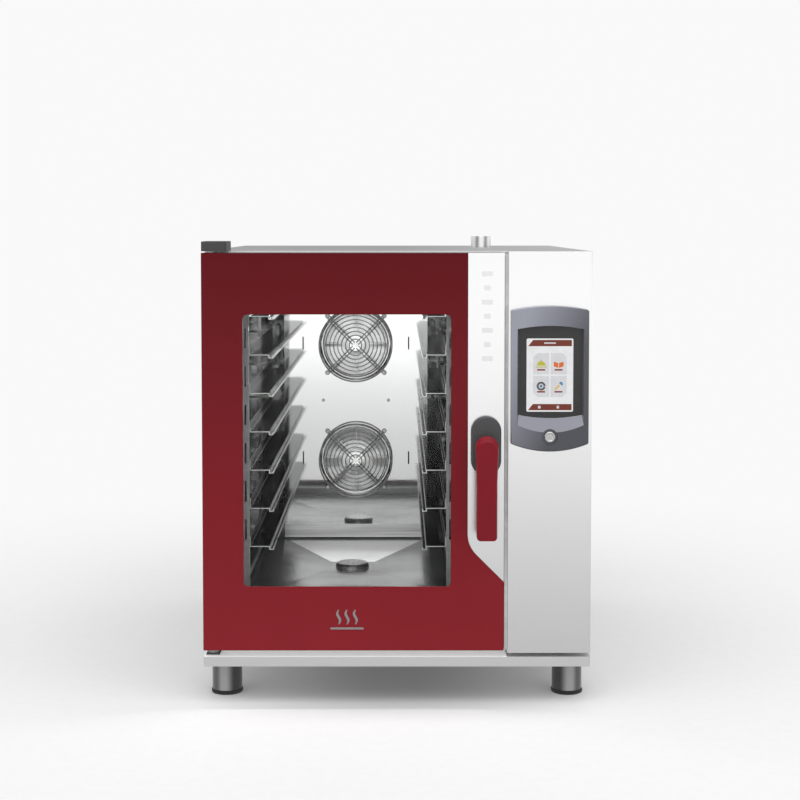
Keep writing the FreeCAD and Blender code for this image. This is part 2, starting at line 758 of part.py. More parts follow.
def make_backplate():
    """A stadium-shaped plate under the lever."""
    body = new_body("handle_backplate")
    radius = d.backplate_radius
    left, right = d.handle_x - radius, d.handle_x + radius
    high, low = d.backplate_top - radius, d.backplate_bottom + radius
    outline = facing_front(body, 0)
    draw_outline(outline, [
        (left, high, radius, 1), (d.handle_x, d.backplate_top, radius, 1), (right, high),
        (right, low, radius, 1), (d.handle_x, d.backplate_bottom, radius, 1), (left, low)])
    pad(body, outline, d.backplate_thickness)
    front_y = (at_depth(0) - d.backplate_thickness).value
    chamfer(body, d.backplate_chamfer, lambda edge, box_: box_.YMax < front_y + 0.1)
    hole = facing_front(body, 0)
    draw_circle(hole, d.handle_x, d.handle_z, d.spindle_radius + d.running_gap)
    pocket(body, hole, d.backplate_thickness, along_normal=True)


def draw_lever_outline(sketch, inset, drop):
    """The lever seen from the front, drawn in by inset, with its round head lowered by drop."""
    x, head_z, bottom = d.handle_x, d.handle_z - drop, d.lever_bottom_z + inset
    radius, grip, corner = d.lever_top_radius - inset, d.lever_bottom_half - inset, d.lever_corner - inset
    shoulder = d.handle_z - d.lever_top_radius * 3
    draw_outline(sketch, [
        (x - radius, head_z, radius, 1), (x, head_z + radius, radius, 1), (x + radius, head_z),
        (x + grip, shoulder), (x + grip, bottom + corner, corner, 1), (x + grip - corner, bottom),
        (x - grip + corner, bottom, corner, 1), (x - grip, bottom + corner), (x - grip, shoulder)])


def make_lever():
    """The lever: a round head over the spindle, sloped at the top, and a long tapered grip."""
    body = new_body("handle_lever")
    x, z = d.handle_x, d.handle_z
    back = facing_front(body, -d.lever_back)
    draw_lever_outline(back, 0, 0)
    pad(body, back, d.lever_slope_back - d.lever_back)
    base = facing_front(body, -d.lever_slope_back)
    draw_lever_outline(base, 0, 0)
    face = facing_front(body, -d.lever_front)
    draw_lever_outline(face, d.lever_side_slope, d.lever_top_slope)
    slope = body.newObject("PartDesign::AdditiveLoft", "slope")
    slope.Profile = base
    slope.Sections = [face]
    slope.Ruled = True
    DOC.recompute()
    hub = facing_front(body, -d.backplate_thickness - d.foot_gap)
    draw_circle(hub, x, z, d.hub_radius)
    pad(body, hub, d.lever_back - d.backplate_thickness - d.foot_gap)
    socket = facing_front(body, -d.backplate_thickness - d.foot_gap)
    draw_circle(socket, x, z, d.spindle_radius)
    pocket(body, socket, d.lever_back - d.backplate_thickness, along_normal=True)


def make_spindle():
    """The spindle through the door and the latch tongue behind it."""
    centre = (d.handle_x, d.handle_z)
    front, back = at_depth(d.latch_front_depth), at_depth(d.latch_back_depth)
    half = d.latch_tongue_half
    spindle = fuse(
        rod("y", centre, (at_depth(d.foot_gap - d.lever_back), back), d.spindle_radius),
        rod("y", centre, (front, back), d.latch_disc_radius),
        box((d.handle_x - half, d.handle_x + half), (front, back),
            (d.handle_z, d.handle_z + d.latch_tongue_length)))
    node(spindle, "handle_spindle")


def make_keeper():
    """The strike plate on the front frame, with a slot in front of the latch tongue's tip."""
    half = d.keeper_half_width
    y = (at_depth(d.frame_depth) - d.keeper_thickness, at_depth(d.frame_depth))
    plate = box((d.handle_x - half, d.handle_x + half), y, (d.keeper_bottom_z, d.keeper_top_z))
    slot = box((d.handle_x - half / 2, d.handle_x + half / 2), (y[0] - 1, y[1] + 1),
               (d.keeper_bottom_z + 10, d.keeper_bottom_z + 26))
    node(cut(plate, slot), "latch_keeper")


# ---- cavity ----

def make_cavity_walls():
    """Flat sheets: both sides, the ceiling and the rear wall, each a sheet outside the clear space."""
    wall = d.sheet
    y = (at_depth(d.frame_depth) + d.frame_sheet, at_depth(d.cavity_back_depth))
    z = (d.cavity_bottom, d.cavity_top)
    node(box((d.cavity_left - wall, d.cavity_left), y, z), "cavity_wall_left")
    right = box((d.cavity_right, d.cavity_right + wall), y, z)
    vent = rod("x", (at_depth(d.exhaust_depth), d.exhaust_stub_z),
               (d.cavity_right - 5, d.cavity_right + 5), d.exhaust_stub_radius)
    node(cut(right, vent), "cavity_wall_right")
    across = (d.cavity_left - wall, d.cavity_right + wall)
    node(box(across, y, (d.cavity_top, d.cavity_top + wall)), "cavity_ceiling")
    rear_y = (at_depth(d.cavity_back_depth), at_depth(d.cavity_back_depth) + wall)
    rear = box(across, rear_y, (d.cavity_bottom - wall, d.cavity_top + wall))
    holes = []
    for z_fan in (d.fan_upper_z, d.fan_lower_z):
        holes.append(rod("y", (d.fan_x, z_fan), (rear_y[0] - 5, rear_y[1] + 5), d.shaft_hole_radius))
        for sign in (-1, 1):
            lead = (d.fan_x + sign * d.heater_pitch, z_fan + d.heater_radius)
            holes.append(rod("y", lead, (rear_y[0] - 5, rear_y[1] + 5), d.heater_tube + 0.2))
    node(cut(rear, *holes), "cavity_rear_wall")


def floor_corners(height_shift):
    """The floor's outer and inner corners, the inner ones round the drain well."""
    low_y = at_depth(d.frame_depth + d.frame_sheet).value
    high_y = at_depth(d.cavity_back_depth).value
    left, right = d.cavity_left.value, d.cavity_right.value
    top, well = d.cavity_bottom.value + height_shift, d.floor_well_z.value + height_shift
    half = d.floor_well_half.value
    x, y = d.drain_x.value, at_depth(d.drain_depth).value
    outer = [Vector(left, low_y, top), Vector(right, low_y, top),
             Vector(right, high_y, top), Vector(left, high_y, top)]
    inner = [Vector(x - half, y - half, well), Vector(x + half, y - half, well),
             Vector(x + half, y + half, well), Vector(x - half, y + half, well)]
    return outer, inner


def polygon_face(points):
    return Part.Face(Part.makePolygon(points + points[:1]))


def make_cavity_floor():
    """Four slopes down to a flat square with the drain hole; the sheet is shifted straight down."""
    top_outer, top_inner = floor_corners(0)
    low_outer, low_inner = floor_corners(-d.sheet.value)
    faces = [polygon_face(top_inner), polygon_face(low_inner)]
    for side in range(4):
        after = (side + 1) % 4
        faces.append(polygon_face([top_outer[side], top_outer[after], top_inner[after], top_inner[side]]))
        faces.append(polygon_face([low_outer[side], low_outer[after], low_inner[after], low_inner[side]]))
        faces.append(polygon_face([top_outer[side], top_outer[after], low_outer[after], low_outer[side]]))
    shell = Part.makeShell(faces)
    plate = Part.makeSolid(shell)
    plate.fix(0.001, 0.001, 0.001)
    drain = Vector(d.drain_x.value, at_depth(d.drain_depth).value, d.floor_well_z.value - 10)
    floor = DOC.addObject("Part::Feature", "cavity_floor")
    floor.Shape = plate.cut(Part.makeCylinder(d.drain_hole_radius.value, 20, drain))
    node(floor, "cavity_floor")


def make_insulation():
    """Mineral wool slabs at the sides, on top and behind the cavity."""
    wall, wool = d.sheet, d.insulation
    y = (at_depth(d.frame_depth) + d.frame_sheet, at_depth(d.cavity_back_depth) + wall)
    z = (d.cavity_bottom, d.cavity_top)
    left = box((d.cavity_left - wall - wool, d.cavity_left - wall), y, z)
    stub = rod("x", (at_depth(d.exhaust_depth), d.exhaust_stub_z),
               (d.cavity_right, d.cavity_right + wall + wool + 5), d.exhaust_stub_radius + wall)
    right = cut(box((d.cavity_right + wall, d.cavity_right + wall + wool), y, z), stub)
    top = box((d.cavity_left - wall, d.cavity_right + wall), y,
              (d.cavity_top + wall, d.cavity_top + wall + wool))
    node(group(left, right, top), "cavity_insulation")


def make_gasket():
    """The hollow-looking rubber frame round the cavity's mouth."""
    body = new_body("door_gasket")
    length = d.frame_depth - d.gasket_front_depth - d.foot_gap
    out, width = d.gasket_outset, d.gasket_width
    ring = facing_front(body, d.frame_depth)
    draw_rectangle(ring, (d.cavity_left - out, d.cavity_right + out),
                   (d.cavity_bottom - out, d.cavity_top + out))
    pad(body, ring, length)
    fillet(body, out, lambda edge, _: is_along(edge, 1))
    inset = out - width
    hole = facing_front(body, d.frame_depth)
    draw_rectangle(hole, (d.cavity_left - inset, d.cavity_right + inset),
                   (d.cavity_bottom - inset, d.cavity_top + inset))
    pocket(body, hole, length, along_normal=True)
    front_y = (at_depth(d.frame_depth) - length).value
    fillet(body, width / 4, lambda edge, box_: box_.YMax < front_y + 0.1)


# ---- air baffle, fans and heaters ----

def fan_heights():
    return {"upper": d.fan_upper_z, "lower": d.fan_lower_z}


def guard_directions():
    """The four diagonals of a fan guard, as unit steps in X and Z."""
    step = math.sqrt(0.5)
    return [(step, step), (-step, step), (-step, -step), (step, -step)]


def eyelet_spots():
    """Centres of the guard eyelets on the baffle."""
    spots = []
    for z in fan_heights().values():
        for dx, dz in guard_directions():
            spots.append((d.fan_x + d.eyelet_offset * dx, z + d.eyelet_offset * dz))
    return spots


def fixing_spots():
    """Centres of the two screws that hold the baffle itself."""
    return [(d.fan_x + sign * d.baffle_screw_offset, d.baffle_screw_z) for sign in (-1, 1)]


def make_baffle():
    """The plate in front of the fans, with rolled inlets, slits and a hem at its bottom edge."""
    front, back = at_depth(d.baffle_depth), at_depth(d.baffle_depth) + d.sheet
    x = (d.fan_x - d.baffle_half, d.fan_x + d.baffle_half)
    plate = box(x, (front, back), (d.baffle_bottom, d.baffle_top))
    hem = box(x, (front - d.sheet, front), (d.baffle_bottom, d.baffle_bottom + d.hem_height))
    flanges = [box(side, (front, back + d.baffle_flange), (d.baffle_bottom, d.baffle_top))
               for side in ((x[0], x[0] + d.sheet), (x[1] - d.sheet, x[1]))]
    rolls, holes = [], []
    through = (front - 20, back + 20)
    for z in fan_heights().values():
        rolls.append(wire_ring((d.fan_x, z), front, d.inlet_radius + d.inlet_roll, d.inlet_roll))
        holes.append(rod("y", (d.fan_x, z), through, d.inlet_radius))
        for sign in (-1, 1):
            middle = d.fan_x + sign * d.slit_offset_x
            low = z + d.slit_offset_z - d.slit_height / 2
            holes.append(box((middle - d.slit_width / 2, middle + d.slit_width / 2), through,
                             (low, low + d.slit_height)))
    for spot in eyelet_spots() + fixing_spots():
        holes.append(rod("y", spot, through, d.screw_radius + 0.1))
    node(cut(fuse(plate, hem, *flanges, *rolls), *holes), "air_baffle")


def make_guard(label, z):
    """Concentric wire rings on four pairs of wires that run back to eyelets on the baffle."""
    wire = d.guard_wire
    centre = (d.fan_x, z)
    ring_y = at_depth(d.guard_depth)
    spoke_y = ring_y + wire * 1.6
    foot_y = at_depth(d.baffle_depth) - wire
    parts = [wire_ring(centre, ring_y, d.guard_first_ring + d.guard_ring_pitch * step, wire)
             for step in range(7)]
    parts.append(wire_ring(centre, ring_y + wire, d.guard_radius, wire * 1.5))
    for dx, dz in guard_directions():
        for side in (-1, 1):
            off_x = side * d.guard_wire_spacing * dz
            off_z = -side * d.guard_wire_spacing * dx
            start = (d.fan_x + 6 * dx + off_x, z + 6 * dz + off_z)
            bend = (d.fan_x + d.guard_radius * dx + off_x, z + d.guard_radius * dz + off_z)
            reach = d.eyelet_offset - d.eyelet_reach
            end = (d.fan_x + reach * dx + off_x, z + reach * dz + off_z)
            parts.append(straight_wire(start, bend, spoke_y, spoke_y, wire))
            parts.append(straight_wire(bend, end, spoke_y, foot_y, wire))
        parts.append(wire_ring((d.fan_x + d.eyelet_offset * dx, z + d.eyelet_offset * dz), foot_y,
                               d.eyelet_radius, wire))
    node(fuse(*parts), label)


def straight_wire(start, end, start_y, end_y, wire):
    """A round wire between two points (x, z) at two depths."""
    a = Vector(start[0].value, start_y.value, start[1].value)
    b = Vector(end[0].value, end_y.value, end[1].value)
    way = b - a
    item = DOC.addObject("Part::Cylinder", "wire")
    bind(item, "Radius", wire)
    item.Height = way.Length
    item.Placement = FreeCAD.Placement(a, FreeCAD.Rotation(Vector(0, 0, 1), way))
    return move(item, start[0], start_y, start[1])


def make_rotor(label, z):
    """A back disc with a hub and shaft, and blades that stand forward from it."""
    blades_front = d.rotor_back_depth - d.blade_width
    disc = d.blade_thickness
    body = new_body(label)
    profile = new_sketch(body, "XZ_Plane")
    back = d.rotor_back_depth - blades_front
    draw_outline(profile, [
        (0, 0), (d.rotor_hub_radius, 0), (d.rotor_hub_radius, back - disc),
        (d.rotor_radius, back - disc), (d.rotor_radius, back), (d.shaft_radius, back),
        (d.shaft_radius, d.shaft_end_depth - blades_front), (0, d.shaft_end_depth - blades_front)])
    revolve(body, profile)
    blade = new_sketch(body, "XY_Plane", 1)
    draw_rectangle(blade, (d.blade_inner, d.rotor_radius - 2), (-disc / 2, disc / 2))
    ring_of(body, pad(body, blade, d.blade_width - disc), 8)
    on_axis(body, "y", (d.fan_x, z), at_depth(blades_front))


def make_heater(label, z):
    """Three turns of tubular element round the rotor, with leads through the rear wall."""
    centre = (d.fan_x, z)
    parts = [wire_ring(centre, at_depth(d.heater_first_depth + d.heater_pitch * step),
                       d.heater_radius, d.heater_tube) for step in range(3)]
    for sign in (-1, 1):
        lead = (d.fan_x + sign * d.heater_pitch, z + d.heater_radius)
        parts.append(rod("y", lead, (at_depth(d.heater_first_depth), at_depth(d.heater_end_depth)),
                         d.heater_tube))
    node(fuse(*parts), label)


def make_motor(label, z):
    """A motor with a neck to the cavity's rear wall and a blind bore for the rotor's shaft."""
    start = d.cavity_back_depth + d.sheet
    bore = d.shaft_radius + d.running_gap
    edge = 6
    front, back = d.motor_front_depth - start, d.motor_back_depth - start
    end = d.motor_bore_depth - start
    body = turned_body(label, [
        (bore, 0), (d.motor_neck_radius, 0), (d.motor_neck_radius, front),
        (d.motor_radius - edge, front), (d.motor_radius, front + edge),
        (d.motor_radius, back - edge), (d.motor_radius - edge, back), (0, back), (0, end),
        (bore, end)])
    on_axis(body, "y", (d.fan_x, z), at_depth(start))


def make_baffle_screws():
    """Pan-head screws through the guard eyelets, and two that hold the baffle itself."""
    plate = at_depth(d.baffle_depth)
    seats = [(spot, plate - d.guard_wire * 2) for spot in eyelet_spots()]
    seats += [(spot, plate) for spot in fixing_spots()]
    screws = []
    for spot, seat in seats:
        head = rod("y", spot, (seat - d.screw_head_height, seat), d.screw_head_radius)
        shank = rod("y", spot, (seat, plate + 6), d.screw_radius)
        screws.append(fuse(head, shank))
    node(group(*screws), "baffle_screws")


# ---- racks ----

def make_rack_frame(label, sign):
    """A slotted upright at the front, a strap on the wall at the back, and what ties them together."""
    edge = d.drain_x + sign * (d.rack_half + 1)
    outer = edge + sign * d.upright_width
    middle = edge + sign * d.upright_width / 2
    flange = d.drain_x + sign * d.rack_half
    wall = d.cavity_left if sign < 0 else d.cavity_right
    slot_near = edge + sign * d.slot_offset
    slot_far = slot_near + sign * d.slot_width
    strap_face = wall - sign * d.strap_thickness

    def across(inside, outside):
        return (outside, inside) if sign < 0 else (inside, outside)

    z = (d.upright_bottom, d.upright_top)
    front, back = at_depth(d.rack_front_depth), at_depth(d.rack_back_depth)
    upright_y = (front, front + d.upright_depth)
    strap_y = (back - d.strap_width, back)
    pin_y = back - d.strap_width / 2
    solids = [box(across(edge, outer), upright_y, z), box(across(strap_face, wall), strap_y, z)]
    slots = []
    for level in range(DIMENSIONS["rail_count"]):
        rail_z = d.rail_first_z + d.rail_pitch * level
        low_z = rail_z + d.slot_rise
        slots.append(box(across(slot_near, slot_far), (front - 1, upright_y[1] + 1),
                         (low_z, low_z + d.slot_height)))
        solids.append(rod("x", (pin_y, rail_z + d.rail_flange / 2), across(flange, strap_face), d.bar_radius))
    for height in (d.upright_bottom + d.spacer_inset, d.upright_top - d.spacer_inset):
        solids.append(rod("x", (front + d.upright_depth / 2, height), across(outer, wall), d.spacer_radius))
    for height in (d.upright_bottom + d.bar_inset, d.upright_top - d.bar_inset):
        solids.append(rod("y", (middle, height), (front + 2, back - 2), d.bar_radius))
        solids.append(rod("x", (pin_y, height), across(middle, strap_face), d.bar_radius))
    node(cut(fuse(*solids), *slots), label)


def make_rails(label, sign):
    """Seven tray rails: flange against the uprights, shelf, step down and an upturned lip."""
    outer = d.drain_x + sign * d.rack_half
    thick = d.rail_sheet
    body = new_body(label)
    step_x = outer - sign * d.shelf_width
    lip_x = step_x - sign * d.rail_lip
    low, top = d.rail_first_z - thick, d.rail_first_z
    profile = new_sketch(body, "XZ_Plane", -at_depth(d.rail_back_depth))
    inner_step, inner_lip = step_x - sign * thick, lip_x - sign * thick
    draw_outline(profile, [
        (outer, low), (outer, top + d.rail_flange), (outer - sign * thick, top + d.rail_flange),
        (outer - sign * thick, top), (inner_step, top), (inner_step, top - d.rail_step),
        (lip_x, top - d.rail_step), (lip_x, top - d.rail_step + d.rail_upturn),
        (inner_lip, top - d.rail_step + d.rail_upturn), (inner_lip, low - d.rail_step),
        (step_x, low - d.rail_step), (step_x, low)])
    first = pad(body, profile, d.rail_back_depth - d.rack_front_depth)
    count = DIMENSIONS["rail_count"]
    row_of(body, first, profile, "V_Axis", d.rail_pitch * (count - 1), count)


# ---- drain, exhaust, services ----

def make_strainer():
    """A low perforated dome over the drain."""
    body = new_body("drain_strainer")
    radius, height, sheet = d.strainer_radius, d.strainer_height, d.strainer_sheet
    bevel = 4
    profile = new_sketch(body, "XZ_Plane")
    draw_outline(profile, [
        (radius, 0), (radius, height - bevel), (radius - bevel, height), (0, height),
        (0, height - sheet), (radius - bevel - sheet / 2, height - sheet),
        (radius - sheet, height - bevel - sheet / 2), (radius - sheet, 0)])
    revolve(body, profile)
    slot_half, slot_length = 1.3, 5
    for reach, count in ((radius - 9, 24), (radius - 17, 18), (radius - 25, 10)):
        top_slot = new_sketch(body, "XY_Plane", height + 1)
        draw_rectangle(top_slot, (reach - slot_length / 2, reach + slot_length / 2), (-slot_half, slot_half))
        ring_of(body, pocket(body, top_slot, sheet + 2), count)
    side_slot = new_sketch(body, "YZ_Plane", radius - 3)
    draw_rectangle(side_slot, (-1.5, 1.5), (2, height - bevel - 1))
    ring_of(body, pocket(body, side_slot, 5, along_normal=True), 32)
    on_axis(body, "z", (d.drain_x, at_depth(d.drain_depth)), d.floor_well_z)


def make_drain_pipe():
    """The pipe from the floor's well down, round a bend and out at the back."""
    radius = (d.drain_pipe_radius - d.spigot_step).value
    wall, bend = d.drain_pipe_wall.value, d.drain_pipe_bend.value
    x, y, z = d.drain_x.value, at_depth(d.drain_depth).value, d.drain_pipe_z.value
    top, end = (d.floor_well_z - d.sheet).value, at_depth(d.service_end_depth).value
    swing = bend * (1 - math.sqrt(0.5))
    path = Part.Wire([
        Part.LineSegment(Vector(x, y, top), Vector(x, y, z + bend)).toShape(),
        Part.Arc(Vector(x, y, z + bend), Vector(x, y + swing, z + swing),
                 Vector(x, y + bend, z)).toShape(),
        Part.LineSegment(Vector(x, y + bend, z), Vector(x, end, z)).toShape()])
    solids = []
    for size in (radius, radius - wall):
        section = Part.Wire(Part.Circle(Vector(x, y, top), Vector(0, 0, 1), size).toShape())
        solids.append(path.makePipeShell([section], True, False))
    bare = DOC.addObject("Part::Feature", "bare_pipe")
    bare.Shape = solids[0].cut(solids[1])
    span = (at_depth(d.body_depth) + d.spigot_gap, at_depth(d.service_end_depth))
    collar = tube("y", (d.drain_x, d.drain_pipe_z), span, d.drain_pipe_radius,
                  d.drain_pipe_radius - d.spigot_step - d.drain_pipe_wall / 2)
    node(fuse(bare, collar), "drain_pipe")


def make_exhaust():
    """The chimney through the roof, its hose spigot and its stub to the cavity's right wall."""
    centre = (d.exhaust_x, at_depth(d.exhaust_depth))
    stub_centre = (at_depth(d.exhaust_depth), d.exhaust_stub_z)
    pipe = d.exhaust_radius - d.spigot_step
    inner = pipe - d.sheet
    start = d.cavity_right + d.sheet
    outer = fuse(rod("z", centre, (d.exhaust_bottom, d.exhaust_top), pipe),
                 rod("z", centre, (d.body_top + d.spigot_gap, d.exhaust_top), d.exhaust_radius),
                 rod("x", stub_centre, (start, d.exhaust_x), d.exhaust_stub_radius))
    hollow = rod("z", centre, (d.exhaust_bottom + d.sheet, d.exhaust_top + 1), inner)
    passage = rod("x", stub_centre, (start - 1, d.exhaust_x), d.exhaust_stub_radius - d.sheet)
    node(cut(outer, hollow, passage), "exhaust_chimney")


def make_services():
    """Two threaded water inlets and a cable gland on the rear panel."""
    back = at_depth(d.body_depth)
    start, end = back - 20, at_depth(d.service_end_depth) - 5
    inlets = []
    for step in range(2):
        centre = (d.inlet_x + d.inlet_pitch * step, d.inlet_z)
        solid = fuse(rod("y", centre, (start, end), d.inlet_thread_radius),
                     hexagon("y", centre, (back, back + 5), d.inlet_hex_radius))
        inlets.append(cut(solid, rod("y", centre, (start - 1, end + 1), d.inlet_bore_radius)))
    node(group(*inlets), "water_inlets")
    centre = (d.gland_x, d.gland_z)
    gland = fuse(rod("y", centre, (start, end), d.gland_radius),
                 hexagon("y", centre, (back, back + 6), d.gland_hex_radius),
                 rod("y", centre, (back, back + 14), d.gland_radius + 2))
    node(cut(gland, rod("y", centre, (start - 1, end + 1), d.gland_bore_radius)), "cable_gland")


def make_casing_screws():
    """Pan-head screws round the rear panel."""
    back = at_depth(d.body_depth)
    screws = []
    for x, z in rear_screw_spots():
        head = rod("y", (x, z), (back, back + d.screw_head_height), d.screw_head_radius)
        screws.append(fuse(head, rod("y", (x, z), (back - 8, back), d.screw_radius)))
    node(group(*screws), "casing_screws")


# ---- control panel ----

def draw_panel_outline(sketch, x, top, bottom):
    """Straight sides with a bowed top and bottom; top and bottom are (corner z, arc radius)."""
    draw_outline(sketch, [
        (x[0], bottom[0]), (x[0], top[0], top[1], 1), (x[1], top[0]), (x[1], bottom[0], bottom[1], 1)])


def make_bezel():
    """The moulded surround: recess for the glass, a sloped facet below it and the button's dish."""
    body = new_body("control_bezel")
    thick = d.panel_thickness
    outline = facing_front(body, 0)
    draw_panel_outline(outline, (d.panel_left, d.panel_right),
                       (d.panel_corner_top_z, d.panel_top_arc),
                       (d.panel_corner_bottom_z, d.panel_bottom_arc))
    pad(body, outline, thick)
    fillet(body, d.panel_chamfer * 2, lambda edge, _: is_along(edge, 1))
    front_y = (at_depth(0) - thick).value
    fillet(body, d.panel_chamfer, lambda edge, box_: box_.YMax < front_y + 0.1)
    glass_x = (d.glass_left, d.glass_right)
    glass_top = (d.glass_corner_top_z, d.glass_top_arc)
    recess = facing_front(body, d.glass_recess - thick)
    draw_panel_outline(recess, glass_x, glass_top, (d.glass_corner_bottom_z, d.glass_bottom_arc))
    mouth = facing_front(body, -thick - 0.5)
    draw_panel_outline(mouth, (d.glass_left - 3, d.glass_right + 3), glass_top,
                       (d.facet_corner_z, d.facet_arc))
    before = body.Shape.Volume
    facet = body.newObject("PartDesign::SubtractiveLoft", "facet")
    facet.Profile = recess
    facet.Sections = [mouth]
    facet.Ruled = True
    DOC.recompute()
    if not body.Shape.Volume < before:
        raise ValueError("the facet cuts nothing")
    seat = facing_front(body, 0)
    draw_panel_outline(seat, glass_x, glass_top, (d.glass_corner_bottom_z, d.glass_bottom_arc))
    pocket(body, seat, thick - d.glass_recess, along_normal=True)
    dish = facing_front(body, d.dish_depth - thick)
    draw_circle(dish, d.button_x, d.button_z, d.dish_radius)
    pocket(body, dish, d.dish_depth, along_normal=True)
    bore = facing_front(body, 0)
    draw_circle(bore, d.button_x, d.button_z, d.button_radius + d.running_gap)
    pocket(body, bore, thick, along_normal=True)


def make_touch_glass():
    body = new_body("touch_glass")
    gap = 0.2
    outline = facing_front(body, d.glass_recess - d.panel_thickness + d.touch_thickness)
    draw_panel_outline(outline, (d.glass_left + gap, d.glass_right - gap),
                       (d.glass_corner_top_z - gap, d.glass_top_arc),
                       (d.glass_corner_bottom_z + gap, d.glass_bottom_arc))
    pad(body, outline, d.touch_thickness)


def make_display():
    front = d.glass_recess - d.panel_thickness + d.touch_thickness
    node(box((d.display_left, d.display_right), (at_depth(front), at_depth(front) + 6),
             (d.display_bottom, d.display_top)), "display_panel")


def make_control_board():
    """The circuit board with its larger parts."""
    front = at_depth(10)
    x = (d.display_left, d.display_right)
    back = front + 1.6
    parts = [box(x, (front, back), (d.board_bottom, d.board_top))]
    chip, chip_height, coil_radius, coil_height, row_pitch = 24, 4.4, 7, 16.4, 42
    for row in range(3):
        low = d.board_bottom + chip / 2 + row * row_pitch
        chip_x = (d.display_left + 10, d.display_left + 10 + chip)
        parts.append(box(chip_x, (back, back + chip_height), (low, low + chip)))
        coil = (d.display_right - chip, low + chip / 2)
        parts.append(rod("y", coil, (back, back + coil_height), coil_radius))
    node(fuse(*parts), "control_board")


def make_button():
    """The round push button, its front edge bevelled."""
    length = d.button_front - d.button_back
    radius, bevel = d.button_radius, 1.5
    body = turned_body("start_button", [
        (0, 1), (radius - bevel * 3, 1), (radius - bevel * 2, 0), (radius - bevel, 0),
        (radius, bevel), (radius, length), (0, length)])
    on_axis(body, "y", (d.button_x, d.button_z), at_depth(-d.button_front))


# ---- building, checks and export ----

def build():
    fill_sheet()
    make_plinth()
    make_side_panel("side_panel_left", -half_width())
    make_side_panel("side_panel_right", half_width() - d.sheet)
    make_roof()
    make_rear_panel()
    make_column_panel()
    make_front_frame()
    make_feet()
    make_outer_glass()
    make_trim_plate()
    make_casing()
    make_inner_glass()
    make_glass_clips()
    make_door_bushes()
    make_hinge_brackets()
    make_hinge_cover()
    make_backplate()
    make_lever()
    make_spindle()
    make_keeper()
    make_cavity_walls()
    make_cavity_floor()
    make_insulation()
    make_gasket()
    make_baffle()
    for name, z in fan_heights().items():
        make_guard("fan_guard_" + name, z)
        make_rotor("fan_rotor_" + name, z)
        make_heater("heater_" + name, z)
        make_motor("fan_motor_" + name, z)
    make_baffle_screws()
    for name, sign in (("left", -1), ("right", 1)):
        make_rack_frame("rack_frame_" + name, sign)
        make_rails("rack_rails_" + name, sign)
    make_strainer()
    make_drain_pipe()
    make_exhaust()
    make_services()
    make_casing_screws()
    make_bezel()
    make_touch_glass()
    make_display()
    make_control_board()
    make_button()
    DOC.recompute()


def check():
    """Stops the script when any object failed or a sub-part's shape is missing or not valid."""
    faults = ["%s failed: %s" % (item.Name, item.State) for item in DOC.Objects
              if "Invalid" in item.State or "Error" in item.State]
    faults += ["%s has no valid solid" % item.Label for item in NODES
               if item.Shape.isNull() or not item.Shape.isValid() or not item.Shape.Solids]
    if faults:
        raise ValueError("; ".join(faults))


def export():
    os.makedirs("parts", exist_ok=True)
    for item in NODES:
        item.Shape.exportStep("parts/%s.step" % item.Label)


build()
check()
export()
print("%d sub-parts written" % len(NODES))
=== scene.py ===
"""Combi steamer oven: materials, door glass, screen page, marks, studio and camera round the CAD frame.

Metres, X to the right as seen from the front, Y to the back, Z up.
"""
import json
import math

import bmesh
import bpy
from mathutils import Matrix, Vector


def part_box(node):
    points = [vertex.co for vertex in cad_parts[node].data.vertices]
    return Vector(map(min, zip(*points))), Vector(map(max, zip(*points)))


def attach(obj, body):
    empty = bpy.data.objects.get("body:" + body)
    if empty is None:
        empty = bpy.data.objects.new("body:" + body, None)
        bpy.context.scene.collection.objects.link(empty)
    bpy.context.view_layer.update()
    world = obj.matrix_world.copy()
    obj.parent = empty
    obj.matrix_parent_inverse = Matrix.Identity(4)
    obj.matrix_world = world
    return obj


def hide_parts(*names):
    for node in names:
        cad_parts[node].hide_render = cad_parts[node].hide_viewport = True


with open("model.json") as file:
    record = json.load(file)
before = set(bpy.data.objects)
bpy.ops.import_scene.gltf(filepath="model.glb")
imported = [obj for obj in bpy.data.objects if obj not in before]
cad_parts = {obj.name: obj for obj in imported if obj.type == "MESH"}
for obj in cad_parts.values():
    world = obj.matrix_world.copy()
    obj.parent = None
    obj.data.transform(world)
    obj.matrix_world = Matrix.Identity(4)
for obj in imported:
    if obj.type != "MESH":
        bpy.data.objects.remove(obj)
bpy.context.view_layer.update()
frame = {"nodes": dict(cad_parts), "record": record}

NODES = frame["nodes"]
MM = 0.001


# ---------------------------------------------------------------- camera

CAMERA_PLACE = (0.003, -3.710, 0.972)
CAMERA_TILT = 3.1
CAMERA_LENS = 72.77
CAMERA_SHIFT = (0.0020, -0.1081)


def make_camera():
    """A long lens straight in front of the oven, tilted a little down."""
    data = bpy.data.cameras.new("camera")
    data.lens = CAMERA_LENS
    data.sensor_width = 36
    data.shift_x, data.shift_y = CAMERA_SHIFT
    data.clip_start = 0.05
    camera = bpy.data.objects.new("camera", data)
    camera.location = CAMERA_PLACE
    camera.rotation_euler = (math.radians(90 - CAMERA_TILT), 0, 0)
    bpy.context.scene.collection.objects.link(camera)
    bpy.context.scene.camera = camera


# ---------------------------------------------------------------- shader helpers


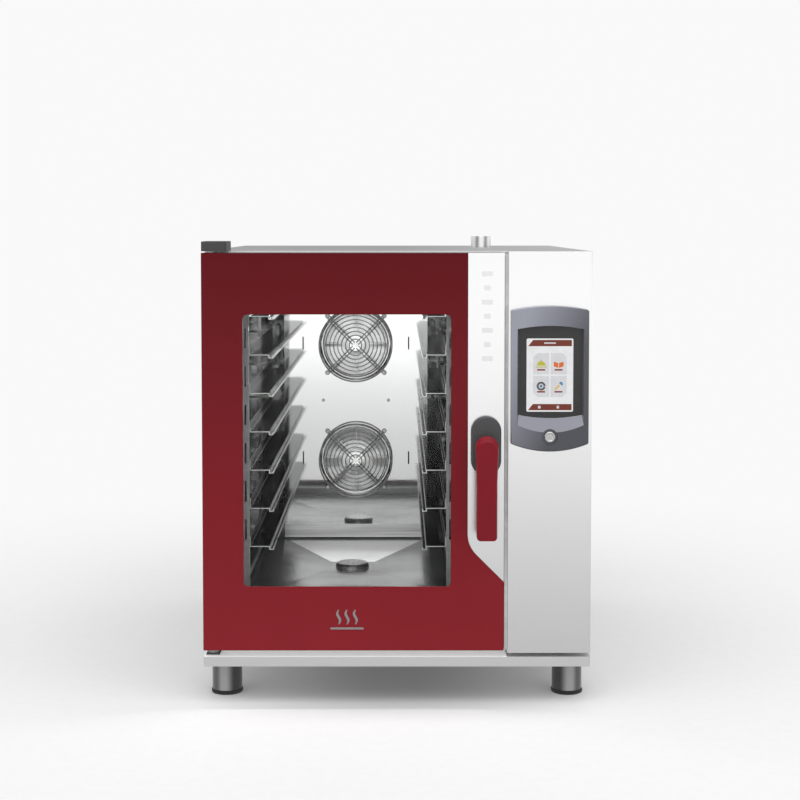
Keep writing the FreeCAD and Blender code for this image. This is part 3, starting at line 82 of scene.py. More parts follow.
class Shader:
    """A material's node tree, with short calls that add nodes and link them."""

    def __init__(self, name):
        self.material = bpy.data.materials.new(name)
        self.material.use_nodes = True
        self.tree = self.material.node_tree
        self.tree.nodes.clear()
        self.output = self.tree.nodes.new("ShaderNodeOutputMaterial")
        self.place = self.add("ShaderNodeTexCoord").outputs["Object"]

    def add(self, kind, inputs=None, **settings):
        """A new node. Each input is a plain value or another node's socket."""
        made = self.tree.nodes.new(kind)
        for key, value in settings.items():
            setattr(made, key, value)
        for key, value in (inputs or {}).items():
            if isinstance(value, bpy.types.NodeSocket):
                self.tree.links.new(value, made.inputs[key])
            else:
                made.inputs[key].default_value = value
        return made

    def math(self, operation, a, b=0.0, clamp=False):
        """The result of one sum; a and b are values or sockets."""
        made = self.add("ShaderNodeMath", {0: a, 1: b}, operation=operation, use_clamp=clamp)
        return made.outputs[0]

    def axis(self, letter):
        """One coordinate of the place, in metres."""
        return self.add("ShaderNodeSeparateXYZ", {0: self.place}).outputs[letter.upper()]

    def noise(self, scale, stretch=(1, 1, 1), detail=3.0, roughness=0.55):
        """Noise from 0 to 1; scale counts features per metre, and stretch multiplies it by axis."""
        mapped = self.add("ShaderNodeMapping", {"Vector": self.place, "Scale": stretch})
        made = self.add("ShaderNodeTexNoise", {
            "Vector": mapped.outputs[0], "Scale": scale, "Detail": detail, "Roughness": roughness,
        })
        return made.outputs["Fac"]

    def between(self, value, low, high, out_low=0.0, out_high=1.0, smooth=True):
        """Maps value from low…high to out_low…out_high and stops at the ends."""
        made = self.add("ShaderNodeMapRange", {
            "Value": value, "From Min": low, "From Max": high, "To Min": out_low, "To Max": out_high,
        }, interpolation_type="SMOOTHSTEP" if smooth else "LINEAR", clamp=True)
        return made.outputs[0]

    def blend(self, share, first, second):
        """The colour between first and second."""
        made = self.add("ShaderNodeMix", data_type="RGBA")
        for key, value in ((0, share), (6, first), (7, second)):
            if isinstance(value, bpy.types.NodeSocket):
                self.tree.links.new(value, made.inputs[key])
            else:
                made.inputs[key].default_value = value
        return made.outputs[2]

    def facing(self, letter):
        """One coordinate of the surface's own direction: 1 where it looks along that axis."""
        normal = self.add("ShaderNodeNewGeometry").outputs["Normal"]
        return self.add("ShaderNodeSeparateXYZ", {0: normal}).outputs[letter.upper()]

    def bump(self, height, distance, strength=1.0, normal=None):
        """A normal with relief; distance is the relief's height in metres."""
        inputs = {"Height": height, "Distance": distance, "Strength": strength}
        if normal is not None:
            inputs["Normal"] = normal
        return self.add("ShaderNodeBump", inputs).outputs[0]

    def round_edges(self, radius):
        """A normal that rounds the sharp edges of a sheet or a moulding."""
        return self.add("ShaderNodeBevel", {"Radius": radius}, samples=4).outputs[0]

    def edge_mask(self, radius):
        """1 along sharp edges and 0 on flats."""
        rounded = self.round_edges(radius)
        flat = self.add("ShaderNodeNewGeometry").outputs["Normal"]
        dot = self.add("ShaderNodeVectorMath", {0: rounded, 1: flat}, operation="DOT_PRODUCT")
        return self.between(dot.outputs["Value"], 0.995, 0.9)

    def principled(self, **values):
        """The Principled surface; names use _ for spaces."""
        surface = self.add("ShaderNodeBsdfPrincipled", {
            key.replace("_", " "): value for key, value in values.items()
        })
        self.finish(surface)
        return surface

    def finish(self, surface):
        """Sends the surface to the material's output."""
        self.tree.links.new(surface.outputs[0], self.output.inputs["Surface"])


def grey(value, tint=(1, 1, 1)):
    """A grey, or a near-grey when a tint is given."""
    return (value * tint[0], value * tint[1], value * tint[2], 1)


# ---------------------------------------------------------------- materials

GRAIN = {"x": (0.02, 1, 1), "y": (1, 0.02, 1), "z": (1, 1, 0.02)}


def brushed_sheet(s, light, dark, roughness, grain, grain_scale, mark, edge, bump):
    """Colour, roughness and normal of brushed sheet: fine lines, cloudy smudges and bright worn edges."""
    lines = s.noise(grain_scale, GRAIN[grain], detail=2)
    smudge = s.noise(4.5, detail=4)
    colour = s.blend(s.between(lines, 0.3, 0.7), dark, light)
    colour = s.blend(s.between(smudge, 0.45, 0.75, 0, 0.35), colour, dark)
    colour = s.blend(s.edge_mask(edge), colour, grey(0.95))
    rough = s.math("ADD", s.between(lines, 0.25, 0.75, roughness - mark, roughness + mark),
                   s.between(smudge, 0.4, 0.8, 0, mark))
    return colour, rough, s.bump(lines, bump, 0.35, s.round_edges(edge))


def brushed(name, light, dark, roughness, grain, grain_scale=900, mark=0.05, edge=0.0006, bump=0.00002,
            metal=1.0):
    """Brushed stainless sheet."""
    s = Shader(name)
    colour, rough, normal = brushed_sheet(s, light, dark, roughness, grain, grain_scale, mark, edge, bump)
    s.principled(Base_Color=colour, Metallic=metal, Roughness=rough, Normal=normal)
    return s.material


def plinth_steel():
    """The base's brushed sheet; the upward faces under the door get a painted glow and a painted lighter
    colour, as if they caught the floor's light.
    """
    s = Shader("plinth_steel")
    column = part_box("control_column_panel")[0].x
    # Painted light: upward faces left of the column are lighter, less metallic and glow faintly.
    sill = s.math("MULTIPLY", s.between(s.facing("z"), 0.5, 0.9),
                  s.between(s.axis("x"), column - 3 * MM, column, 1, 0))
    colour, rough, normal = brushed_sheet(s, grey(0.84), grey(0.80), 0.32, "x", 900, 0.02, 0.0006, 0.000004)
    s.principled(Base_Color=s.blend(sill, colour, grey(0.98)), Metallic=s.between(sill, 0, 1, 0.5, 0),
                 Roughness=rough, Normal=normal, Emission_Color=grey(1.0),
                 Emission_Strength=s.between(sill, 0, 1, 0, 0.3))
    return s.material


def polished_sheet(s, light, dark, roughness):
    """Colour, roughness and normal of mirror-polished steel: faint wipe marks and a trace of heat colour."""
    wipe = s.noise(30, (1, 1, 0.15), detail=4)
    heat = s.noise(3.2, detail=3)
    fine = s.noise(700, (0.05, 1, 1), detail=1)
    colour = s.blend(s.between(heat, 0.35, 0.75), light, dark)
    rough = s.math("ADD", s.between(wipe, 0.35, 0.8, roughness, roughness * 1.9),
                   s.between(fine, 0.4, 0.7, 0, roughness * 0.4))
    return colour, rough, s.bump(fine, 0.00001, 0.25, s.round_edges(0.0005))


def polished(name, light, dark, roughness):
    """Mirror-polished cavity steel."""
    s = Shader(name)
    colour, rough, normal = polished_sheet(s, light, dark, roughness)
    s.principled(Base_Color=colour, Metallic=1.0, Roughness=rough, Normal=normal)
    return s.material


def rail_steel():
    """The tray rails: grey polished faces, bright ground edges and a painted highlight on the front ends."""
    s = Shader("rail_steel")
    colour, rough, normal = polished_sheet(s, grey(0.40), grey(0.33), 0.06)
    # Painted highlight: faces that look to the front are near white and less metallic.
    front = s.between(s.facing("y"), -0.8, -0.5, 1, 0)
    bright = s.math("MAXIMUM", front, s.edge_mask(0.0012))
    s.principled(Base_Color=s.blend(bright, colour, grey(0.96)), Metallic=s.between(bright, 0, 1, 1.0, 0.4),
                 Roughness=rough, Normal=normal, Specular_Tint=grey(0.45))
    return s.material


def baffle_steel():
    """The air baffle: a mirror, with a satin hem along its bottom edge."""
    s = Shader("mirror_steel")
    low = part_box("air_baffle")[0]
    hem_height = 33 * MM
    hem = s.between(s.axis("z"), low.z + hem_height - MM, low.z + hem_height, 1, 0)
    colour, rough, normal = polished_sheet(s, grey(0.97), grey(0.93), 0.03)
    lines = s.between(s.noise(160, (0.02, 1, 1), detail=2), 0.35, 0.65)
    satin_tone = s.blend(lines, grey(0.50), grey(0.74))
    s.principled(Base_Color=s.blend(hem, colour, satin_tone), Metallic=s.between(hem, 0, 1, 1.0, 0.45),
                 Roughness=s.math("MAXIMUM", rough, s.math("MULTIPLY", hem, 0.32)), Normal=normal)
    return s.material


def cavity_wall(name, light, dark):
    """Polished wall that turns dark and mottled near the baffle and behind it."""
    s = Shader(name)
    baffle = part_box("air_baffle")[0].y
    deep = s.between(s.axis("y"), baffle - 60 * MM, baffle - 5 * MM)
    coarse = s.noise(46, (1, 1, 0.7), detail=5, roughness=0.7)
    fine = s.noise(150, (1, 1, 0.5), detail=3)
    share = s.math("ADD", s.between(coarse, 0.44, 0.60, 0, 0.55), s.between(fine, 0.5, 0.66, 0, 0.45))
    wipe = s.between(s.noise(9, (1, 1, 0.3), detail=4), 0.3, 0.8)
    clean = s.blend(wipe, grey(0.80), grey(0.66, (1, 0.99, 0.975)))
    colour = s.blend(deep, clean, s.blend(share, dark, light))
    rough = s.math("ADD", s.between(fine, 0.3, 0.7, 0.05, 0.09), s.math("MULTIPLY", deep, 0.12))
    s.principled(Base_Color=colour, Metallic=1.0, Roughness=rough,
                 Normal=s.bump(s.math("MULTIPLY", coarse, deep), 0.0003, 0.5, s.round_edges(0.0005)))
    return s.material


def floor_steel():
    """The cavity's floor: grey with wipe marks, and a painted highlight on its far slope."""
    s = Shader("floor_steel")
    # Painted highlight: the slope that tilts towards the front is near white.
    slope = s.between(s.facing("y"), -0.025, -0.012, 1, 0)
    wipe = s.noise(22, (0.25, 1, 1), detail=4)
    colour = s.blend(s.between(wipe, 0.3, 0.75), grey(0.27), grey(0.24))
    colour = s.blend(slope, colour, grey(0.97))
    s.principled(Base_Color=colour, Metallic=0.85, Roughness=s.between(wipe, 0.3, 0.75, 0.16, 0.26),
                 Normal=s.bump(wipe, 0.00004, 0.3, s.round_edges(0.0006)))
    return s.material


def roof_steel():
    """The roof: mid-grey satin on top with painted light that makes it lighter to the right, and a painted
    highlight on the folded front edge.
    """
    s = Shader("roof_steel")
    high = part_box("roof_panel")[1]
    lines = s.noise(700, GRAIN["x"], detail=2)
    smudge = s.noise(5, detail=4)
    # Painted light: the top grows lighter towards the right.
    colour = s.blend(s.between(s.axis("x"), 0.0, high.x, smooth=False), grey(0.62), grey(0.92))
    colour = s.blend(s.between(smudge, 0.4, 0.8, 0, 0.2), colour, grey(0.5))
    # Painted highlight: everything below the top face, the folded front edge, is near white.
    painted_fold_highlight = s.between(s.axis("z"), high.z - 0.3 * MM, high.z - 0.1 * MM, 1, 0, smooth=False)
    colour = s.blend(painted_fold_highlight, colour, grey(0.99))
    s.principled(Base_Color=colour, Metallic=s.between(painted_fold_highlight, 0, 1, 1.0, 0.3),
                 Roughness=s.between(lines, 0.3, 0.7, 0.28, 0.36), Normal=s.round_edges(0.0004))
    return s.material


def satin(name, light, dark):
    """Bead-blasted steel bar, flat grey with bright edges."""
    s = Shader(name)
    tone = s.noise(120, detail=3)
    colour = s.blend(s.between(tone, 0.3, 0.7), light, dark)
    colour = s.blend(s.edge_mask(0.0007), colour, grey(0.85))
    s.principled(Base_Color=colour, Metallic=0.2, Roughness=s.between(tone, 0.3, 0.7, 0.4, 0.5),
                 Normal=s.bump(tone, 0.00002, 0.3, s.round_edges(0.0006)))
    return s.material


def chrome_tube(name, node):
    """Bright upright tube with two soft dark bands of painted reflection down it."""
    s = Shader(name)
    radius = 24 * MM
    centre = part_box(node)[1].x - radius
    away = s.math("ABSOLUTE", s.math("SUBTRACT", s.axis("x"), centre))
    painted_reflection_band = s.math("ABSOLUTE", s.math("SUBTRACT", away, radius * 0.42))
    tone = s.noise(90, (1, 1, 0.2), detail=2)
    # Painted reflection: dark bands on either side of the tube's middle.
    colour = s.blend(s.between(painted_reflection_band, 0.0, radius * 0.34), grey(0.34), grey(0.98))
    s.principled(Base_Color=colour, Metallic=0.7, Roughness=s.between(tone, 0.3, 0.7, 0.18, 0.24),
                 Normal=s.bump(tone, 0.00001, 0.2, s.round_edges(0.0006)))
    return s.material


def wire_steel():
    """Polished round wire and tube."""
    s = Shader("wire_steel")
    tone = s.noise(60, detail=3)
    colour = s.blend(s.between(tone, 0.35, 0.7), grey(0.52), grey(0.40, (1, 0.98, 0.97)))
    rough = s.between(tone, 0.3, 0.75, 0.16, 0.3)
    s.principled(Base_Color=colour, Metallic=1.0, Roughness=rough, Normal=s.bump(tone, 0.00002, 0.3))
    return s.material


def foot_steel():
    """Turned tube with a painted reflection: dark towards the middle of the oven, a painted soft highlight,
    then mid grey outside.
    """
    s = Shader("foot_steel")
    low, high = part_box("foot_tube_front_right")
    radius = (high.x - low.x) / 2
    outward = s.math("SUBTRACT", s.math("ABSOLUTE", s.axis("x")), low.x + radius)
    lines = s.noise(1300, (0.05, 0.05, 1), detail=1)
    # Painted reflection: dark on the side towards the oven's middle, a painted highlight, then darker and mid
    # grey outside.
    colour = s.blend(s.between(outward, -0.55 * radius, 0.02 * radius), grey(0.055), grey(0.52))
    colour = s.blend(s.between(outward, 0.25 * radius, 0.62 * radius), colour, grey(0.17))
    colour = s.blend(s.between(outward, 0.75 * radius, radius), colour, grey(0.36))
    colour = s.blend(s.between(lines, 0.3, 0.7, 0, 0.12), colour, grey(0.3))
    s.principled(Base_Color=colour, Metallic=0.45, Roughness=s.between(lines, 0.3, 0.7, 0.34, 0.42),
                 Normal=s.round_edges(0.0008))
    return s.material


def enamel_glass():
    """Red enamel behind glass, with painted light: deeper at the top, a little lighter lower down."""
    s = Shader("red_glass")
    low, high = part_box("door_outer_glass")
    # Painted light: the enamel's colour runs from lighter at the bottom to deeper at the top.
    height = s.between(s.axis("z"), low.z, high.z, smooth=False)
    cloud = s.noise(5, detail=3)
    speck = s.noise(900, detail=1)
    colour = s.blend(height, (0.346, 0.0270, 0.0370, 1), (0.132, 0.0067, 0.0106, 1))
    colour = s.blend(s.between(cloud, 0.3, 0.8, 0, 0.12), colour, (0.12, 0.004, 0.008, 1))
    colour = s.blend(s.between(speck, 0.55, 0.8, 0, 0.10), colour, (0.45, 0.03, 0.035, 1))
    back = s.between(s.axis("y"), high.y - 0.9 * MM, high.y - 0.3 * MM, smooth=False)
    colour = s.blend(back, colour, grey(0.20))
    colour = s.blend(s.edge_mask(0.0011), colour, (0.035, 0.004, 0.005, 1))
    rough = s.between(cloud, 0.3, 0.8, 0.05, 0.11)
    s.principled(Base_Color=colour, Roughness=rough, IOR=1.5, Specular_IOR_Level=0.08,
                 Normal=s.bump(s.noise(14, detail=1), 0.00008, 0.2, s.round_edges(0.0009)))
    return s.material


def clear_glass():
    """A clean pane: see-through, with a soft mirror image that grows towards the edge of sight."""
    s = Shader("clear_glass")
    film = s.noise(6, detail=3)
    through = s.add("ShaderNodeBsdfTransparent", {"Color": (0.992, 0.994, 0.993, 1)})
    shine = s.add("ShaderNodeBsdfGlossy", {
        "Color": grey(0.9), "Roughness": s.between(film, 0.4, 0.8, 0.01, 0.05),
    })
    share = s.math("MULTIPLY", s.add("ShaderNodeFresnel", {"IOR": 1.45}).outputs[0], 0.12)
    mixed = s.add("ShaderNodeMixShader", {0: share, 1: through.outputs[0], 2: shine.outputs[0]})
    s.finish(mixed)
    return s.material


def moulded(name, colour, worn, roughness, grain=1500, depth=0.00006, specular=0.5):
    """Moulded plastic with a fine grain and slightly lighter, smoother edges."""
    s = Shader(name)
    pits = s.noise(grain, detail=2)
    hue = s.noise(12, detail=3)
    base = s.blend(s.between(hue, 0.3, 0.8, 0, 0.4), colour, tuple(c * 0.75 for c in colour[:3]) + (1,))
    base = s.blend(s.edge_mask(0.0008), base, worn)
    rough = s.between(pits, 0.3, 0.7, roughness - 0.06, roughness + 0.06)
    s.principled(Base_Color=base, Roughness=rough, Specular_IOR_Level=specular,
                 Normal=s.bump(pits, depth, 0.35, s.round_edges(0.0008)))
    return s.material


def lacquer(name, light, dark, roughness):
    """Metallic lacquer with fine flakes, painted shade lower down and towards the right, a painted highlight
    on upward faces lower down, and a painted flat tone on the walls that face left.
    """
    s = Shader(name)
    edge = 0.0009
    low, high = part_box("control_bezel")
    # Painted shade: the lacquer darkens lower down and towards the right.
    across = s.between(s.axis("x"), low.x, high.x, 0.50, -0.62, smooth=False)
    height = s.math("ADD", s.between(s.axis("z"), low.z, high.z, 0, 0.8, smooth=False), across, clamp=True)
    flake = s.noise(2600, detail=1)
    colour = s.blend(height, dark, light)
    colour = s.blend(s.between(flake, 0.55, 0.85, 0, 0.15), colour, grey(0.5, (0.95, 0.97, 1.05)))
    colour = s.blend(s.edge_mask(edge), colour, grey(0.07, (0.95, 0.98, 1.1)))
    tall = high.z - low.z
    # Painted highlight: upward faces in the lower part are lighter.
    lower = s.between(s.axis("z"), low.z + 0.42 * tall, low.z + 0.45 * tall, 1, 0)
    painted_facet_highlight = s.math("MULTIPLY", s.between(s.facing("z"), 0.10, 0.25), lower)
    colour = s.blend(painted_facet_highlight, colour, grey(0.33, (0.96, 0.98, 1.14)))
    # Painted light and shade: the walls that face left get one flat tone.
    painted_wall_tone = s.between(s.facing("x"), -0.8, -0.6, 1, 0)
    colour = s.blend(painted_wall_tone, colour, grey(0.26, (0.96, 0.98, 1.1)))
    s.principled(Base_Color=colour, Metallic=0.6, Coat_Weight=0.5, Coat_Roughness=0.12,
                 Roughness=s.between(flake, 0.3, 0.8, roughness, roughness + 0.1),
                 Normal=s.round_edges(edge))
    return s.material


def screen_glass():
    """Near-black touch glass with faint finger marks."""
    s = Shader("screen_glass")
    marks = s.noise(35, detail=4)
    colour = s.blend(s.between(marks, 0.4, 0.8), grey(0.034), grey(0.042))
    s.principled(Base_Color=colour, Roughness=s.between(marks, 0.45, 0.75, 0.06, 0.2),
                 Specular_IOR_Level=0.35, Normal=s.round_edges(0.0006))
    return s.material


def rubber(name, tone):
    """Matt rubber with a little dust on it."""
    s = Shader(name)
    grain = s.noise(600, detail=4)
    dust = s.noise(25, detail=4)
    colour = s.blend(s.between(dust, 0.45, 0.8, 0, 0.3), grey(tone), grey(tone * 2.2))
    s.principled(Base_Color=colour, Roughness=s.between(grain, 0.3, 0.7, 0.55, 0.75),
                 Specular_IOR_Level=0.35, Normal=s.bump(grain, 0.00008, 0.4, s.round_edges(0.0006)))
    return s.material


def wool():
    """Mineral wool blanket: fibrous, yellow-grey."""
    s = Shader("wool")
    fibre = s.noise(260, (1, 0.25, 1), detail=6, roughness=0.7)
    colour = s.blend(s.between(fibre, 0.3, 0.7), (0.30, 0.26, 0.17, 1), (0.62, 0.56, 0.42, 1))
    s.principled(Base_Color=colour, Roughness=0.95, Normal=s.bump(fibre, 0.002, 0.8))
    return s.material


def board():
    """Green circuit board with lighter green traces."""
    s = Shader("board")
    traces = s.add("ShaderNodeTexBrick", {"Vector": s.place, "Scale": 120, "Mortar Size": 0.03})
    colour = s.blend(traces.outputs["Fac"], (0.02, 0.13, 0.05, 1), (0.10, 0.30, 0.09, 1))
    s.principled(Base_Color=colour, Roughness=s.between(s.noise(200), 0.3, 0.7, 0.3, 0.5))
    return s.material


def plain_metal(name, light, dark, roughness, scale=220):
    """Turned or cast metal with a small-scale change of tone."""
    s = Shader(name)
    edge = 0.0004
    tone = s.noise(scale, detail=3)
    colour = s.blend(s.between(tone, 0.3, 0.75), light, dark)
    colour = s.blend(s.edge_mask(edge), colour, tuple(min(1, c * 1.4) for c in light[:3]) + (1,))
    s.principled(Base_Color=colour, Metallic=1.0,
                 Roughness=s.between(tone, 0.3, 0.75, roughness, roughness + 0.15),
                 Normal=s.bump(tone, 0.00003, 0.3, s.round_edges(edge)))
    return s.material


def motor_paint():
    """Dark paint with a slight orange-peel surface."""
    s = Shader("motor_paint")
    peel = s.noise(420, detail=3)
    colour = s.blend(s.between(s.noise(18), 0.3, 0.8), (0.05, 0.055, 0.06, 1), (0.09, 0.095, 0.10, 1))
    s.principled(Base_Color=colour, Roughness=s.between(peel, 0.3, 0.7, 0.35, 0.5),
                 Normal=s.bump(peel, 0.0001, 0.4, s.round_edges(0.0006)))
    return s.material


def lit(name, colour, strength=0.75):
    """A patch of the lit screen: its own light, with faint unevenness from the backlight."""
    s = Shader(name)
    uneven = s.noise(60, detail=2)
    darker = tuple(c * 0.92 for c in colour[:3]) + (1,)
    tone = s.blend(s.between(uneven, 0.3, 0.7), colour, darker)
    s.principled(Base_Color=tuple(c * 0.25 for c in colour[:3]) + (1,), Roughness=0.25,
                 Specular_IOR_Level=0.3, Emission_Color=tone, Emission_Strength=strength)
    return s.material


def make_materials():
    """One material for each of the record's slots."""
    return {
        "case_steel": brushed("case_steel", grey(0.62), grey(0.50), 0.32, "x"),
        "bright_steel": brushed("bright_steel", grey(0.965), grey(0.945), 0.24, "z", mark=0.012,
                                bump=0.000003),
        "cavity_steel": polished("cavity_steel", grey(0.88), grey(0.78, (1, 0.985, 0.965)), 0.055),
        "wire_steel": wire_steel(),
        "foot_steel": foot_steel(),
        "red_glass": enamel_glass(),
        "clear_glass": clear_glass(),
        "black_rubber": rubber("black_rubber", 0.028),
        "gasket_rubber": rubber("gasket_rubber", 0.045),
        "dark_plastic": moulded("dark_plastic", grey(0.050), grey(0.11), 0.42),
        "backplate_plastic": moulded("backplate_plastic", grey(0.072, (0.97, 1, 1.05)), grey(0.16), 0.40),
        "red_plastic": moulded("red_plastic", (0.27, 0.0135, 0.0235, 1), (0.42, 0.03, 0.06, 1), 0.36,
                               grain=900, depth=0.00001, specular=0.14),
        "bezel_plastic": lacquer("bezel_plastic", grey(0.36, (0.95, 0.98, 1.15)),
                                 grey(0.085, (0.95, 0.98, 1.15)), 0.30),
        "screen_glass": screen_glass(),
        "screen": lit("screen", grey(0.84, (0.99, 0.995, 1.01))),
        "button_metal": plain_metal("button_metal", grey(0.66), grey(0.48), 0.2, 500),
        "bush_plastic": moulded("bush_plastic", grey(0.55), grey(0.7), 0.45),
        "hardware_steel": plain_metal("hardware_steel", grey(0.60), grey(0.44), 0.26),
        "motor_paint": motor_paint(),
        "heater_alloy": plain_metal("heater_alloy", grey(0.20, (1, 0.93, 0.86)),
                                    grey(0.10, (1, 0.9, 0.85)), 0.42),
        "rotor_steel": plain_metal("rotor_steel", grey(0.93), grey(0.84), 0.30, 90),
        "wool": wool(),
        "board": board(),
        "brass_fitting": plain_metal("brass_fitting", (0.72, 0.52, 0.24, 1), (0.55, 0.38, 0.16, 1), 0.25),
        "pipe_steel": brushed("pipe_steel", grey(0.6), grey(0.46), 0.3, "y", 600),
    }


def special_materials():
    """Looks for nodes whose finish differs from the rest of their slot."""
    wall = cavity_wall("cavity_wall_steel", grey(0.66), grey(0.020))
    rail = rail_steel()
    looks = {"air_baffle": baffle_steel(), "cavity_floor": floor_steel(),
             "baffle_screws": plain_metal("screw_steel", grey(0.78), grey(0.68), 0.32),
             "drain_strainer": plain_metal("strainer_steel", grey(0.95), grey(0.35), 0.3, 260),
             "base_plinth": plinth_steel(),
             "front_frame": brushed("frame_steel", grey(0.93), grey(0.86), 0.28, "x", mark=0.02,
                                    bump=0.000004, metal=0.5),
             "lower_hinge_bracket": satin("lower_hinge_steel", grey(0.05), grey(0.03)),
             "roof_panel": roof_steel(),
             "exhaust_chimney": chrome_tube("chimney_steel", "exhaust_chimney")}
    for name in ("cavity_wall_left", "cavity_wall_right", "cavity_ceiling", "cavity_rear_wall"):
        looks[name] = wall
    for level in ("upper", "lower"):
        looks["fan_rotor_" + level] = satin("rotor_sheet_" + level, grey(0.88), grey(0.78))
    for side in ("left", "right"):
        looks["rack_rails_" + side] = rail
        looks["rack_frame_" + side] = satin("rack_steel_" + side, grey(0.46), grey(0.38))
    return looks


def dress_nodes(materials, special):
    """Gives every CAD node the material of its slot, or its own where it has one."""
    for part in frame["record"]["subparts"]:
        node = NODES[part["node"]]
        for slot in node.material_slots:
            slot.material = special.get(part["node"], materials[part["material_slot"]])


# ---------------------------------------------------------------- mesh helpers


def new_piece(name, mesh, body, material):
    """Puts a mesh in the scene as a piece of the object."""
    piece = bpy.data.objects.new(name, mesh)
    bpy.context.scene.collection.objects.link(piece)
    mesh.materials.clear()
    mesh.materials.append(material)
    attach(piece, body)
    return piece


def arc(centre, radius, start, end, steps=10):
    """Points on an arc in the XZ plane, angles in degrees from +X towards +Z."""
    points = []
    for step in range(steps + 1):
        angle = math.radians(start + (end - start) * step / steps)
        points.append((centre[0] + radius * math.cos(angle), centre[1] + radius * math.sin(angle)))
    return points


def round_rectangle(left, bottom, right, top, radius, steps=8):
    """The outline of a rectangle with round corners, anticlockwise."""
    return (arc((right - radius, top - radius), radius, 0, 90, steps)
            + arc((left + radius, top - radius), radius, 90, 180, steps)
            + arc((left + radius, bottom + radius), radius, 180, 270, steps)
            + arc((right - radius, bottom + radius), radius, 270, 360, steps))


def slab(name, outlines, front, back):
    """A mesh of flat plates: each outline in XZ is filled and drawn out from front to back in Y."""
    mesh = bpy.data.meshes.new(name)
    made = bmesh.new()
    for outline in outlines:
        near = [made.verts.new((x, front, z)) for x, z in outline]
        far = [made.verts.new((x, back, z)) for x, z in outline]
        made.faces.new(near)
        made.faces.new(list(reversed(far)))
        for index, corner in enumerate(near):
            after = (index + 1) % len(near)
            made.faces.new((near[after], corner, far[index], far[after]))
    bmesh.ops.recalc_face_normals(made, faces=made.faces)
    made.to_mesh(mesh)
    made.free()
    return mesh


def carved(name, node, cutter, operation):
    """A copy of a CAD node's mesh after a boolean with the cutter mesh."""
    tool = bpy.data.objects.new(name + "_tool", cutter)
    work = bpy.data.objects.new(name + "_work", NODES[node].data.copy())
    for item in (tool, work):
        bpy.context.scene.collection.objects.link(item)
    weld = work.modifiers.new("weld", "WELD")
    weld.merge_threshold = 0.01 * MM
    step = work.modifiers.new("carve", "BOOLEAN")
    step.object = tool
    step.operation = operation
    step.solver = "EXACT"
    bpy.context.view_layer.update()
    result = bpy.data.meshes.new_from_object(work.evaluated_get(bpy.context.evaluated_depsgraph_get()))
    result.name = name
    for item in (tool, work):
        bpy.data.objects.remove(item)
    return result


# ---------------------------------------------------------------- door glass

WINDOW_LEFT, WINDOW_RIGHT = -311 * MM, 109.5 * MM
WINDOW_BOTTOM, WINDOW_TOP = 240 * MM, 794 * MM
WINDOW_ROUND = 10 * MM


def window_outline():
    """The clear part of the outer glass, inside the printed enamel border."""
    return round_rectangle(WINDOW_LEFT, WINDOW_BOTTOM, WINDOW_RIGHT, WINDOW_TOP, WINDOW_ROUND)


def make_door_glass(materials):
    """Cuts the outer glass into its enamelled border and its clear window."""
    low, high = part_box("door_outer_glass")
    reach = 10 * MM
    for name, operation, slot in (("door_glass_enamel", "DIFFERENCE", "red_glass"),
                                  ("door_glass_window", "INTERSECT", "clear_glass")):
        cutter = slab(name + "_cutter", [window_outline()], low.y - reach, high.y + reach)
        piece = new_piece(name, carved(name, "door_outer_glass", cutter, operation), "door",
                          materials[slot])
        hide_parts("door_outer_glass")


# ---------------------------------------------------------------- screen page

PAGE_THICKNESS = 0.12 * MM


def page_layer(name, outlines, layer, colour, strength=0.75):
    """One layer of the screen's page, on the front of the display."""
    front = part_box("touch_glass")[0].y - (layer + 1) * PAGE_THICKNESS
    mesh = slab(name, outlines, front, front + PAGE_THICKNESS * 0.9)
    new_piece(name, mesh, "oven", lit(name, colour, strength))


def shifted(outline, dx, dz, scale=1.0):
    """The outline scaled about the origin, then moved."""
    return [(x * scale + dx, z * scale + dz) for x, z in outline]


def disc(centre, radius, steps):
    """A full circle's outline."""
    return arc(centre, radius, 0, 360, steps)[:-1]


PAGE_WHITE = grey(0.84, (0.99, 0.995, 1.01))
BAR_BROWN = (0.21, 0.042, 0.026, 1)
TAG_RED = (0.30, 0.05, 0.04, 1)
BAR_INSET = 3 * MM
BAR_SLANT = 10 * MM
ICON_SIZE = 9 * MM


def slanted_bar(left, right, low, high):
    """A bar across the page whose left end leans."""
    return [(left + BAR_INSET + BAR_SLANT, high), (left + BAR_INSET, low),
            (right - BAR_INSET, low), (right - BAR_INSET, high)]


def menu_tiles(middle_x, middle_z, reach_x, reach_z):
    """Four tiles round the page's middle, each with its outer corner cut."""
    gap, cut = 1.6 * MM, 9 * MM
    tiles = []
    for side in (-1, 1):
        for level in (-1, 1):
            inner, outer = side * gap, side * reach_x
            tiles.append([
                (middle_x + inner, middle_z + level * gap),
                (middle_x + outer, middle_z + level * gap),
                (middle_x + outer, middle_z + level * (reach_z - cut)),
                (middle_x + outer - side * cut, middle_z + level * reach_z),
                (middle_x + inner, middle_z + level * reach_z),
            ])
    return tiles


def tile_tags(middle_x, middle_z, icon_x, icon_z):
    """The short line under each icon, where a label would be."""
    half_wide, half_tall, drop = 8 * MM, 1.6 * MM, 11.5 * MM
    tags = []
    for side in (-1, 1):
        for level in (-1, 1):
            x = middle_x + side * icon_x
            z = middle_z + level * icon_z - drop
            tags.append([(x - half_wide, z - half_tall), (x + half_wide, z - half_tall),
                         (x + half_wide, z + half_tall), (x - half_wide, z + half_tall)])
    return tags


